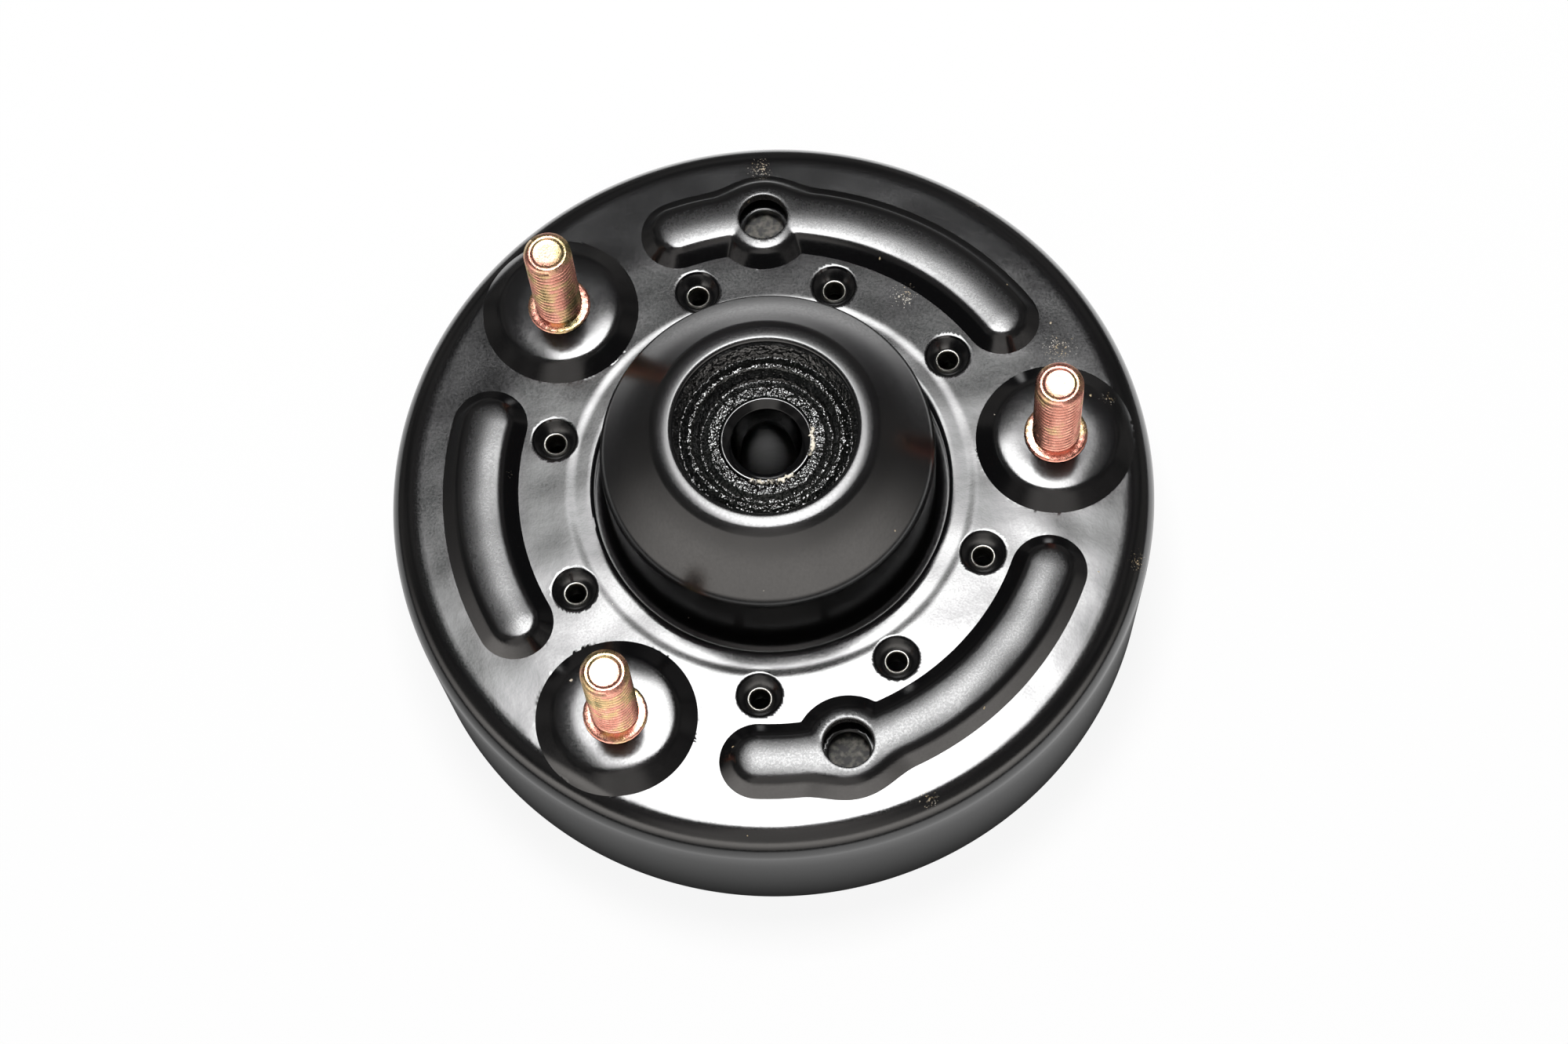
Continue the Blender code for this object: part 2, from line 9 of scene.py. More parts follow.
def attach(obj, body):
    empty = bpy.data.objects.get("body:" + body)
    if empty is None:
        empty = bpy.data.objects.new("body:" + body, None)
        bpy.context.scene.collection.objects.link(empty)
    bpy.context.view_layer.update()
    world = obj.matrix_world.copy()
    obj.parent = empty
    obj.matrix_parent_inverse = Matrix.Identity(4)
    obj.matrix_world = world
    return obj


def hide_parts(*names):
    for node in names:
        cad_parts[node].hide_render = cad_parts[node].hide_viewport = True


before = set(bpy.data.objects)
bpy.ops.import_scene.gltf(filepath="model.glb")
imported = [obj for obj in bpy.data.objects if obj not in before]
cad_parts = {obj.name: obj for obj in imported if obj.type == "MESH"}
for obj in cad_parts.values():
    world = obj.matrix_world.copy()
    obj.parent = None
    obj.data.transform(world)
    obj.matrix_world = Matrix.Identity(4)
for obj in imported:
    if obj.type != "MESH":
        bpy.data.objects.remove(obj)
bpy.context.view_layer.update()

# shapes are drawn in millimetres and brought to metres when a piece is finished
mm = 0.001


def linear(code):
    # sRGB hex to the linear colour that a shader takes
    parts = [int(code[i:i + 2], 16) / 255 for i in (1, 3, 5)]
    return [p / 12.92 if p <= 0.04045 else ((p + 0.055) / 1.055) ** 2.4 for p in parts] + [1.0]


def perMetre(size):
    # texture scale for a pattern whose cells are about this many millimetres
    return 1.0 / (size * mm)


def addNode(tree, kind, settings=None, links=None):
    node = tree.nodes.new("ShaderNode" + kind)
    for name, value in (settings or {}).items():
        if isinstance(name, str) and hasattr(node, name):
            setattr(node, name, value)
        else:
            node.inputs[name].default_value = value
    for name, source in (links or {}).items():
        tree.links.new(source, node.inputs[name])
    return node


def newMaterial(name):
    material = bpy.data.materials.new(name)
    material.use_nodes = True
    tree = material.node_tree
    shader = tree.nodes["Principled BSDF"]
    return material, tree, shader


def polar(radius, degrees, height=0.0):
    angle = math.radians(degrees)
    return Vector((radius * math.cos(angle), radius * math.sin(angle), height))


def easeBetween(low, high, value):
    share = min(max((value - low) / (high - low), 0.0), 1.0)
    return share * share * (3 - 2 * share)


def roundCorners(corners):
    # corners are (radius, height), or (radius, height, fillet, steps) where they are rounded
    points = []
    for index, corner in enumerate(corners):
        here = Vector(corner[:2])
        if len(corner) == 2:
            points.append(here)
            continue
        fillet, steps = corner[2:]
        before = (Vector(corners[index - 1][:2]) - here).normalized()
        after = (Vector(corners[(index + 1) % len(corners)][:2]) - here).normalized()
        half = before.angle(after) / 2
        centre = here + (before + after).normalized() * fillet / math.sin(half)
        first = here + before * fillet / math.tan(half) - centre
        last = here + after * fillet / math.tan(half) - centre
        sweep = first.angle(last)
        for step in range(steps + 1):
            share = step / steps
            swung = first * math.sin((1 - share) * sweep) + last * math.sin(share * sweep)
            points.append(centre + swung / math.sin(sweep))
    return points


def spinProfile(points, steps, closed=True):
    # turns a (radius, height) outline once round the Z axis
    shape = bmesh.new()
    verts = [shape.verts.new((x, 0, z)) for x, z in points]
    edges = [shape.edges.new(pair) for pair in zip(verts, verts[1:])]
    if closed:
        edges.append(shape.edges.new((verts[-1], verts[0])))
    bmesh.ops.spin(shape, geom=verts + edges, cent=(0, 0, 0), axis=(0, 0, 1), angle=math.tau,
                   steps=steps, use_merge=True)
    bmesh.ops.remove_doubles(shape, verts=shape.verts, dist=0.0005)
    bmesh.ops.recalc_face_normals(shape, faces=shape.faces)
    return shape


def finishPiece(name, shape, materials, replaced, crease=30):
    bmesh.ops.scale(shape, vec=(mm, mm, mm), verts=shape.verts)
    mesh = bpy.data.meshes.new(name)
    shape.to_mesh(mesh)
    shape.free()
    mesh.shade_smooth()
    mesh.set_sharp_from_angle(angle=math.radians(crease))
    for material in materials:
        mesh.materials.append(material)
    piece = bpy.data.objects.new(name, mesh)
    bpy.context.scene.collection.objects.link(piece)
    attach(piece, "root")
    if replaced:
        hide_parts(*replaced)
    return piece


# dip-coated pressed steel: gloss black, with orange peel over the sheet's own grain, dust and small scuffs
# wave, peel and grain: the pattern's size and its height in mm
pressedPaint = {"colour": "#0c0c0d", "roughness": 0.15, "wave": (22.0, 0.06), "peel": (1.7, 0.0045),
                "grain": (0.42, 0.0032), "grit": 0.42, "topGrain": 0.006, "topDull": 0.12,
                "dust": "#b09a74", "scuff": "#cfcac0", "dustShare": 0.035, "dustCell": 2.6, "dustSize": 0.13,
                "dustEdge": (0.8, 0.0009), "scuffDepth": 0.13, "scuffFrom": (0.67, 0.71)}
# the drawn housing stays smoother than the pan
drawnPaint = dict(pressedPaint, roughness=0.22, wave=(30.0, 0.03), peel=(2.4, 0.002), grain=(0.5, 0.0012),
                  topGrain=0.0)
# in the sleeve's bore the paint stands thick, in runs
thickPaint = dict(drawnPaint, roughness=0.08, wave=(3.2, 0.03), peel=(1.3, 0.012))
# worn places seen on the real one, and pale patches beside the right boss and on the roll at the right: x, y, z, reach
# in mm
scuffs = {"outside the upper pad": (8.4, 73.5, 37.5, 3.2), "above the right stud": (65.4, 20.3, 37.5, 4.2),
          "roll, upper right": (54.1, 57.8, 35.5, 2.4), "pale patch on the roll, right": (73.2, -29.6, 35.8, 3.0),
          "pale patch beside the right boss": (72.7, 6.3, 38.5, 2.4), "seat, upper right": (34.4, 38.0, 37.5, 3.4),
          "roll, upper left": (-46.1, 76.0, 35.5, 3.5), "near roll": (21.7, -74.2, 37.5, 2.4),
          "plain rib foot": (-55.5, 10.5, 37.5, 2.2)}


def addDust(tree, where, paint):
    # specks in few of the cells, each with its own size, their edges broken up
    size, push = paint["dustEdge"]
    ragged = addNode(tree, "TexNoise", {"Scale": perMetre(size), "Detail": 2.0}, {"Vector": where})
    ragged = addNode(tree, "VectorMath", {"operation": "SCALE", "Scale": push}, {0: ragged.outputs["Color"]})
    spot = addNode(tree, "VectorMath", {"operation": "ADD"}, {0: where, 1: ragged.outputs[0]})
    cells = addNode(tree, "TexVoronoi", {"Scale": perMetre(paint["dustCell"])}, {"Vector": spot.outputs[0]})
    chance = addNode(tree, "SeparateColor", None, {"Color": cells.outputs["Color"]})
    reach = addNode(tree, "MapRange", {"From Min": 1.0 - paint["dustShare"], "From Max": 1.0, "To Min": 0.0,
                                       "To Max": paint["dustSize"]}, {"Value": chance.outputs["Red"]})
    speck = addNode(tree, "Math", {"operation": "LESS_THAN"}, {0: cells.outputs["Distance"], 1: reach.outputs[0]})
    return speck.outputs[0], chance.outputs["Green"]


def addScuffs(tree, where, grit, paint, places):
    # fine broken grit that thins out from each worn place
    worn = None
    for x, y, z, size in places.values():
        apart = addNode(tree, "VectorMath", {"operation": "DISTANCE", 1: (x * mm, y * mm, z * mm)}, {0: where})
        near = addNode(tree, "MapRange", {"From Min": size * mm, "From Max": 0.0, "To Min": 0.0,
                                          "To Max": paint["scuffDepth"]}, {"Value": apart.outputs["Value"]})
        near = near.outputs[0]
        if worn is not None:
            near = addNode(tree, "Math", {"operation": "MAXIMUM"}, {0: worn, 1: near}).outputs[0]
        worn = near
    level = addNode(tree, "Math", {"operation": "ADD"}, {0: worn, 1: grit})
    low, high = paint["scuffFrom"]
    bare = addNode(tree, "MapRange", {"From Min": low, "From Max": high}, {"Value": level.outputs[0]})
    held = addNode(tree, "Math", {"operation": "GREATER_THAN", 1: 0.005}, {0: worn})
    return addNode(tree, "Math", {"operation": "MULTIPLY"}, {0: bare.outputs[0], 1: held.outputs[0]}).outputs[0]


def makePaint(name, paint, places):
    material, tree, shader = newMaterial(name)
    where = addNode(tree, "TexCoord").outputs["Object"]
    heights = {}
    for part, detail in (("wave", 0.5), ("peel", 0.5), ("grain", 2.0)):
        heights[part] = addNode(tree, "TexNoise", {"Scale": perMetre(paint[part][0]), "Detail": detail},
                                {"Vector": where}).outputs[0]
    grit = addNode(tree, "TexNoise", {"Scale": perMetre(paint["grit"]), "Detail": 3.0, "Roughness": 0.7},
                   {"Vector": where}).outputs[0]
    speck, kind = addDust(tree, where, paint)
    if places:
        bare = addScuffs(tree, where, grit, paint, places)
        speck = addNode(tree, "Math", {"operation": "MAXIMUM"}, {0: speck, 1: bare}).outputs[0]
    tone = addNode(tree, "Mix", {"data_type": "RGBA", 6: linear(paint["dust"]), 7: linear(paint["scuff"])}, {0: kind})
    colour = addNode(tree, "Mix", {"data_type": "RGBA", 6: linear(paint["colour"])}, {0: speck, 7: tone.outputs[2]})
    tree.links.new(colour.outputs[2], shader.inputs["Base Color"])
    rough = addNode(tree, "MapRange", {"From Min": 0.3, "From Max": 0.7, "To Min": paint["roughness"] - 0.03,
                                       "To Max": paint["roughness"] + 0.05}, {"Value": heights["grain"]})
    if paint["topGrain"]:
        # the stretched tops of the ribs are duller and coarser
        share = addNode(tree, "Attribute", {"attribute_name": "stretched"}).outputs["Fac"]
        rough = addNode(tree, "Math", {"operation": "MULTIPLY_ADD", 1: paint["topDull"]},
                        {0: share, 2: rough.outputs[0]})
    dusty = addNode(tree, "Math", {"operation": "MAXIMUM"}, {0: rough.outputs[0], 1: speck})
    tree.links.new(dusty.outputs[0], shader.inputs["Roughness"])
    links = {}
    for part, height in heights.items():
        bump = addNode(tree, "Bump", {"Distance": paint[part][1] * mm}, {"Height": height, **links})
        links = {"Normal": bump.outputs[0]}
    if paint["topGrain"]:
        bump = addNode(tree, "Bump", {"Distance": paint["topGrain"] * mm}, {"Height": grit, "Strength": share, **links})
    tree.links.new(bump.outputs[0], shader.inputs["Normal"])
    return material


# zinc plate with yellow chromate: soft satin metal, tinted gold, rose and olive in patches
zincPlate = {"tints": ((0.34, "#8f8763"), (0.46, "#c9aa80"), (0.58, "#cf9484"), (0.70, "#bd7f70")),
             "patch": 6.5, "grit": 0.35, "roughness": (0.21, 0.37), "depth": 0.03}


def makeZincPlate(name, shift):
    material, tree, shader = newMaterial(name)
    where = addNode(tree, "TexCoord").outputs["Object"]
    patch = addNode(tree, "TexNoise", {"Scale": perMetre(zincPlate["patch"]), "Detail": 3.0, "Roughness": 0.6},
                    {"Vector": where})
    moved = addNode(tree, "Math", {"operation": "ADD", 1: shift}, {0: patch.outputs[0]})
    tint = addNode(tree, "ValToRGB", None, {"Fac": moved.outputs[0]})
    elements = tint.color_ramp.elements
    while len(elements) < len(zincPlate["tints"]):
        elements.new(0.5)
    for element, (place, code) in zip(elements, zincPlate["tints"]):
        element.position, element.color = place, linear(code)
    tree.links.new(tint.outputs[0], shader.inputs["Base Color"])
    shader.inputs["Metallic"].default_value = 1.0
    grit = addNode(tree, "TexNoise", {"Scale": perMetre(zincPlate["grit"]), "Detail": 3.0}, {"Vector": where})
    smooth, coarse = zincPlate["roughness"]
    rough = addNode(tree, "MapRange", {"From Min": 0.3, "From Max": 0.7, "To Min": smooth, "To Max": coarse},
                    {"Value": grit.outputs[0]})
    tree.links.new(rough.outputs[0], shader.inputs["Roughness"])
    bump = addNode(tree, "Bump", {"Distance": zincPlate["depth"] * mm}, {"Height": grit.outputs[0]})
    tree.links.new(bump.outputs[0], shader.inputs["Normal"])
    return material


# moulded rubber under thick dip paint that set in beads of under a millimetre: glossy and sparkling
# bead and lump: the pattern's size and its height in mm
coatedRubber = {"colour": "#0a0a0a", "roughness": 0.06, "bead": (0.72, 0.36), "lump": (1.6, 0.12)}


def makeCoatedRubber():
    material, tree, shader = newMaterial("rubberUnderDipPaint")
    where = addNode(tree, "TexCoord").outputs["Object"]
    size, depth = coatedRubber["lump"]
    lump = addNode(tree, "TexNoise", {"Scale": perMetre(size), "Detail": 2.0, "Roughness": 0.6}, {"Vector": where})
    bump = addNode(tree, "Bump", {"Distance": depth * mm}, {"Height": lump.outputs[0]})
    size, depth = coatedRubber["bead"]
    bead = addNode(tree, "TexNoise", {"Scale": perMetre(size), "Detail": 1.0}, {"Vector": where})
    bump = addNode(tree, "Bump", {"Distance": depth * mm}, {"Height": bead.outputs[0], "Normal": bump.outputs[0]})
    tree.links.new(bump.outputs[0], shader.inputs["Normal"])
    shader.inputs["Base Color"].default_value = linear(coatedRubber["colour"])
    shader.inputs["Roughness"].default_value = coatedRubber["roughness"]
    return material


# plain moulded rubber of the spring seat, matt and a little dusty
seatSurface = {"tones": ("#101010", "#6a665f"), "patch": 1.3, "detail": 4.0, "span": (0.44, 0.74),
               "roughness": 0.62, "metallic": 0.0, "depth": 0.05}
# steel edge with the paint worn thin
edgeSteel = {"tones": ("#3f3e3a", "#a5a29b"), "patch": 0.8, "detail": 2.0, "span": (0.0, 1.0),
             "roughness": 0.3, "metallic": 1.0, "depth": 0.0}
# dried paint and grit: black and off-white
crumbTones = {"tones": ("#2e2a26", "#efe6d4"), "patch": 1.6, "detail": 2.0, "span": (0.42, 0.55),
              "roughness": 0.28, "metallic": 0.0, "depth": 0.0}


def makeTwoTone(name, look):
    # two tones in patches; patch and depth are in mm
    material, tree, shader = newMaterial(name)
    where = addNode(tree, "TexCoord").outputs["Object"]
    patch = addNode(tree, "TexNoise", {"Scale": perMetre(look["patch"]), "Detail": look["detail"]}, {"Vector": where})
    low, high = look["span"]
    share = addNode(tree, "MapRange", {"From Min": low, "From Max": high}, {"Value": patch.outputs[0]})
    dark, pale = look["tones"]
    colour = addNode(tree, "Mix", {"data_type": "RGBA", 6: linear(dark), 7: linear(pale)}, {0: share.outputs[0]})
    tree.links.new(colour.outputs[2], shader.inputs["Base Color"])
    shader.inputs["Roughness"].default_value = look["roughness"]
    shader.inputs["Metallic"].default_value = look["metallic"]
    if look["depth"]:
        bump = addNode(tree, "Bump", {"Strength": 0.6, "Distance": look["depth"] * mm}, {"Height": patch.outputs[0]})
        tree.links.new(bump.outputs[0], shader.inputs["Normal"])
    return material


panPaint = makePaint("dipCoatedPressedSteel", pressedPaint, scuffs)
housingPaint = makePaint("dipCoatedDrawnSteel", drawnPaint, {})
sleevePaint = makePaint("dipCoatedTurnedSteel", thickPaint, {})
# each stud's plate leans a little more towards rose, or less
studPlates = [makeZincPlate("yellowChromateZinc%d" % number, shift)
              for number, shift in enumerate((0.09, 0.02, 0.03), 1)]
beadedRubber = makeCoatedRubber()
seatRubber = makeTwoTone("mouldedRubberMatt", seatSurface)
bareEdge = makeTwoTone("steelEdgeWornBright", edgeSteel)
crumbPaint = makeTwoTone("driedPaintAndGrit", crumbTones)
print("materials made")

# pressed pan
pan = {"radius": 81.0, "rimRadius": 80.0, "height": 37.5, "gauge": 2.5, "roll": 5.9, "rollStart": 75.1,
       "holeRadius": 37.6, "holeLip": 0.9, "seatDrop": 0.12, "seatFrom": 41.5, "seatTo": 43.7,
       "turnSteps": 380, "lipSteps": 4, "rollSteps": 14, "cell": 1.0, "seatCell": 0.4,
       # what counts as the top sheet lies at most this far below its level
       "topDepth": 3.5}
# wall and lean are slopes in degrees, of the wall and of the crown where it starts
ribs = {"pitch": 61.65, "halfWidth": 8.05, "height": 3.2, "wall": 41, "edge": 2.6, "lean": 9.0, "crownFrom": 8.05,
        "middles": (180, 64.5, -64.5), "halfSpans": (21.5, 36.3, 36.3),
        # the sheet is stretched from one reach to the other
        "stretched": (3.6, 5.2), "padRadius": 11.2, "padPitch": 60.9, "padAngle": 83.2,
        "holeRadius": 5.2, "holeLip": 0.4}
bosses = {"pitch": 60.85, "angles": (0, 130, -130), "radius": 16.83, "height": 3.0, "wall": 34, "edge": 2.8,
          "lean": 8.0, "crownFrom": 8.8, "holeRadius": 5.9}
# the mesh is refined from outside a form's foot to where its crown is nearly flat, and round each cut edge
refined = {"outside": 1.3, "rib": 4.9, "boss": 6.0, "snap": 0.29}
# a saddle of sheet stands between a boss and a rib's end
saddle = {"height": 0.6, "reach": 3.2}
rivets = {"pitch": 47.35, "angles": (28.7, -28.7, 65, -65, 101.3, -101.3, 158.7, -158.7),
          "sinkRadius": 4.71, "sinkLip": 0.12, "foot": 2.85, "pierced": 2.35}


def ribReach(x, y):
    # how far a point is inside the nearest rib's outline, with the round pads blended in
    radius = math.hypot(x, y)
    angle = math.degrees(math.atan2(y, x))
    best = -99.0
    for middle, halfSpan in zip(ribs["middles"], ribs["halfSpans"]):
        turn = (angle - middle + 180) % 360 - 180
        spine = polar(ribs["pitch"], middle + min(max(turn, -halfSpan), halfSpan))
        best = max(best, ribs["halfWidth"] - math.hypot(x - spine.x, y - spine.y))
    pad = polar(ribs["padPitch"], math.copysign(ribs["padAngle"], angle))
    padReach = ribs["padRadius"] - math.hypot(x - pad.x, y - pad.y)
    blend = 0.3 + 3.2 * easeBetween(58.0, 66.0, radius)
    overlap = max(blend - abs(best - padReach), 0.0)
    return max(best, padReach) + overlap * overlap / (4 * blend)


def bossReach(x, y):
    return max(bosses["radius"] - math.hypot(x - centre.x, y - centre.y) for centre in studPlaces)


def wallLift(reach, form):
    # height up a pressed wall: a straight slope, an edge arc, then a shallow crown that levels out inside
    if reach <= 0:
        return 0.0
    slope, lean = math.radians(form["wall"]), math.radians(form["lean"])
    edge, inside = form["edge"], form["crownFrom"]
    arcRun, arcRise = edge * (math.sin(slope) - math.sin(lean)), edge * (math.cos(lean) - math.cos(slope))
    crownTan = math.tan(lean / 2)
    straight = (form["height"] - arcRise - (inside - arcRun) * crownTan) / (math.tan(slope) - crownTan)
    if reach < straight:
        return reach * math.tan(slope)
    if reach < straight + arcRun:
        turned = math.sin(slope) - (reach - straight) / edge
        return straight * math.tan(slope) + edge * (math.sqrt(1 - turned * turned) - math.cos(slope))
    crown = (inside - straight - arcRun) / math.sin(lean)
    left = max(inside - reach, 0.0)
    return form["height"] - crown + math.sqrt(crown * crown - left * left)


def pressLift(x, y):
    rib, boss = ribReach(x, y), bossReach(x, y)
    between = saddle["height"] * math.exp((min(rib, 0.0) + min(boss, 0.0)) / saddle["reach"])
    return max(wallLift(rib, ribs), wallLift(boss, bosses)) + between


def sheetWave(x, y):
    # slow unevenness that pressing leaves in the flats
    return 0.10 * noise.noise(Vector((x / 17.0, y / 17.0, 3.7))) + 0.05 * noise.noise(Vector((x / 8.0, y / 8.0, 8.1)))


studPlaces = [polar(bosses["pitch"], angle) for angle in bosses["angles"]]
rivetPlaces = [polar(rivets["pitch"], angle) for angle in rivets["angles"]]
holePlaces = [polar(ribs["padPitch"], side * ribs["padAngle"]) for side in (1, -1)]


def sheetHeight(radius):
    # the plain sheet before ribs and bosses: a shallow seat round the hole, then the roll at the edge
    if radius <= pan["rollStart"]:
        return pan["height"] - pan["seatDrop"] * (1 - easeBetween(pan["seatFrom"], pan["seatTo"], radius))
    return pan["height"] - pan["roll"] + math.sqrt(max(pan["roll"] ** 2 - (radius - pan["rollStart"]) ** 2, 0.0))


def panProfile():
    seat = pan["height"] - pan["seatDrop"]
    points = [(pan["holeRadius"], pan["height"] - pan["gauge"]), (pan["holeRadius"], seat - pan["holeLip"])]
    for step in range(1, pan["lipSteps"] + 1):
        turn = math.radians(90 * step / pan["lipSteps"])
        points.append((pan["holeRadius"] + pan["holeLip"] * (1 - math.cos(turn)),
                       seat - pan["holeLip"] * (1 - math.sin(turn))))
    radius = pan["holeRadius"] + pan["holeLip"] + 0.8
    while radius < pan["rollStart"]:
        points.append((radius, sheetHeight(radius)))
        radius += pan["seatCell"] if radius < 44 else pan["cell"]
    for step in range(pan["rollSteps"] + 1):
        turn = math.radians(90 * step / pan["rollSteps"])
        points.append((pan["rollStart"] + pan["roll"] * math.sin(turn),
                       pan["height"] - pan["roll"] * (1 - math.cos(turn))))
    foot = pan["height"] - pan["roll"]
    for share in (0.2, 0.45, 0.7, 0.92, 0.985, 1.0):
        points.append((pan["radius"] + (pan["rimRadius"] - pan["radius"]) * share, foot * (1 - share)))
    return points


def cutCircles():
    found = [(place, rivets["sinkRadius"] + rivets["sinkLip"]) for place in rivetPlaces]
    found += [(place, ribs["holeRadius"] + ribs["holeLip"]) for place in holePlaces]
    found += [(place, bosses["holeRadius"]) for place in studPlaces]
    return found


def refineNearForms(shape, circles):
    low = -refined["outside"]
    chosen = set()
    for face in shape.faces:
        spot = face.calc_center_median()
        if spot.z < pan["height"] - pan["topDepth"]:
            continue
        near = low < ribReach(spot.x, spot.y) < refined["rib"] or low < bossReach(spot.x, spot.y) < refined["boss"]
        near = near or any(abs(math.hypot(spot.x - c.x, spot.y - c.y) - r) < refined["outside"] for c, r in circles)
        if near:
            chosen.update(face.edges)
    bmesh.ops.subdivide_edges(shape, edges=list(chosen), cuts=1, use_grid_fill=True)


def openingsIn(shape, circles, floorLevel):
    # faces inside the circles are cut away once the mesh follows their outlines
    def within(face):
        spot = face.calc_center_median()
        return spot.z > floorLevel and any(math.hypot(spot.x - c.x, spot.y - c.y) < r for c, r in circles)
    bmesh.ops.delete(shape, geom=[face for face in shape.faces if within(face)], context="FACES")


def snapToCircle(vert, circles, within):
    for centre, radius in circles:
        x, y = vert.co.x - centre.x, vert.co.y - centre.y
        gap = math.hypot(x, y)
        if abs(gap - radius) < within:
            vert.co.x, vert.co.y = centre.x + x * radius / gap, centre.y + y * radius / gap
            return True
    return False


def slopeOf(reachOf, x, y):
    tip = 0.01
    slopeX = (reachOf(x + tip, y) - reachOf(x - tip, y)) / (2 * tip)
    slopeY = (reachOf(x, y + tip) - reachOf(x, y - tip)) / (2 * tip)
    return slopeX, slopeY


def snapToForms(shape, circles, within):
    # verts near a form's foot move onto it, so that mesh edges follow it
    snapped = []
    for vert in shape.verts:
        if vert.co.z < pan["height"] - pan["topDepth"]:
            continue
        if snapToCircle(vert, circles, within):
            snapped.append(vert)
            continue
        for reachOf in (ribReach, bossReach):
            if abs(reachOf(vert.co.x, vert.co.y)) < within:
                for attempt in range(2):
                    slopeX, slopeY = slopeOf(reachOf, vert.co.x, vert.co.y)
                    reach = reachOf(vert.co.x, vert.co.y)
                    steep = slopeX ** 2 + slopeY ** 2 + 1e-9
                    vert.co.x -= reach * slopeX / steep
                    vert.co.y -= reach * slopeY / steep
                snapped.append(vert)
                break
    bmesh.ops.connect_verts(shape, verts=snapped)


def ringOf(shape, centre, radius, verts):
    # open edges on a circle, between the given verts
    def onCircle(vert):
        return vert in verts and abs(math.hypot(vert.co.x - centre.x, vert.co.y - centre.y) - radius) < 0.02
    return [edge for edge in shape.edges if edge.is_boundary and all(onCircle(vert) for vert in edge.verts)]


def extrudeRing(shape, ring, centre, radius, drop, level):
    # a ring either drops from its own height or goes to a level
    made = bmesh.ops.extrude_edge_only(shape, edges=ring)["geom"]
    for vert in (item for item in made if isinstance(item, bmesh.types.BMVert)):
        outward = Vector((vert.co.x - centre.x, vert.co.y - centre.y)).normalized() * radius
        vert.co = (centre.x + outward.x, centre.y + outward.y, vert.co.z - drop if level is None else level)
    return [item for item in made if isinstance(item, bmesh.types.BMEdge)]


def makePan():
    shape = spinProfile(panProfile(), pan["turnSteps"], closed=False)
    stretched = shape.verts.layers.float.new("stretched")
    circles = cutCircles()
    refineNearForms(shape, circles)
    snapToForms(shape, circles, refined["snap"])
    openingsIn(shape, circles, 30)
    # the sheet's inner skin is a copy, one gauge in
    lipEnd = pan["holeRadius"] + pan["holeLip"] - 0.01
    middles = [(face, face.calc_center_median()) for face in shape.faces]
    outerFaces = [face for face, spot in middles if math.hypot(spot.x, spot.y) > lipEnd]
    copied = bmesh.ops.duplicate(shape, geom=outerFaces)["geom"]
    innerVerts = {item for item in copied if isinstance(item, bmesh.types.BMVert)}
    bmesh.ops.reverse_faces(shape, faces=[item for item in copied if isinstance(item, bmesh.types.BMFace)])
    underside = pan["height"] - pan["gauge"]
    rollCentre = pan["height"] - pan["roll"]
    for vert in shape.verts:
        x, y, z = vert.co
        radius = math.hypot(x, y)
        onTop = z > rollCentre + 0.01 and radius > lipEnd
        lift = pressLift(x, y) + sheetWave(x, y) * easeBetween(81, 72, radius) if onTop else 0.0
        if onTop and vert not in innerVerts:
            vert.co.z = sheetHeight(radius) + lift
        if vert in innerVerts:
            if radius <= pan["rollStart"]:
                vert.co.z = underside + lift
            elif z > rollCentre:
                out = Vector((radius - pan["rollStart"], z - rollCentre)).normalized() * pan["gauge"]
                vert.co = (x * (1 - out.x / radius), y * (1 - out.x / radius), z - out.y + lift)
            else:
                vert.co.x, vert.co.y = x * (1 - pan["gauge"] / radius), y * (1 - pan["gauge"] / radius)
    low, high = ribs["stretched"]
    for vert in shape.verts:
        vert[stretched] = easeBetween(low, high, ribReach(vert.co.x, vert.co.y)) if vert.co.z > pan["height"] else 0.0
    outerVerts = set(shape.verts) - innerVerts
    # each hole's edge goes down as rings of (radius, drop, level)
    for centre, radius in circles:
        if radius == bosses["holeRadius"]:
            rings = [(radius, 2.4, None), (radius, 0, underside + bosses["height"])]
        elif radius == ribs["holeRadius"] + ribs["holeLip"]:
            hole = ribs["holeRadius"]
            rings = [(hole + 0.16, 0.05, None), (hole + 0.03, 0.13, None), (hole, 0.2, None),
                     (hole, 0, underside + ribs["height"])]
        else:
            sink = rivets["sinkRadius"]
            rings = [(sink + 0.04, 0.03, None), (sink - 0.03, 0.1, None), (rivets["foot"], 0, underside)]
        lower = ringOf(shape, centre, radius, innerVerts)
        ring = ringOf(shape, centre, radius, outerVerts)
        for size, drop, level in rings:
            ring = extrudeRing(shape, ring, centre, size, drop, level)
        extrudeRing(shape, lower, centre, rings[-1][0], 0, rings[-1][2])
    centre = Vector((0, 0, 0))
    lower = [edge for edge in shape.edges if edge.is_boundary and all(
        vert in innerVerts and math.hypot(vert.co.x, vert.co.y) < 40 for vert in edge.verts)]
    extrudeRing(shape, lower, centre, pan["holeRadius"], 0, underside)
    rim = [edge for edge in shape.edges if edge.is_boundary and max(vert.co.z for vert in edge.verts) < 0.1]
    bmesh.ops.bridge_loops(shape, edges=rim)
    bmesh.ops.remove_doubles(shape, verts=shape.verts, dist=0.002)
    bmesh.ops.recalc_face_normals(shape, faces=shape.faces)
    bmesh.ops.triangulate(shape, faces=[face for face in shape.faces if len(face.verts) > 4])
    return finishPiece("pressedPan", shape, [panPaint], ["top_plate"], 28)


makePan()
print("pan pressed")

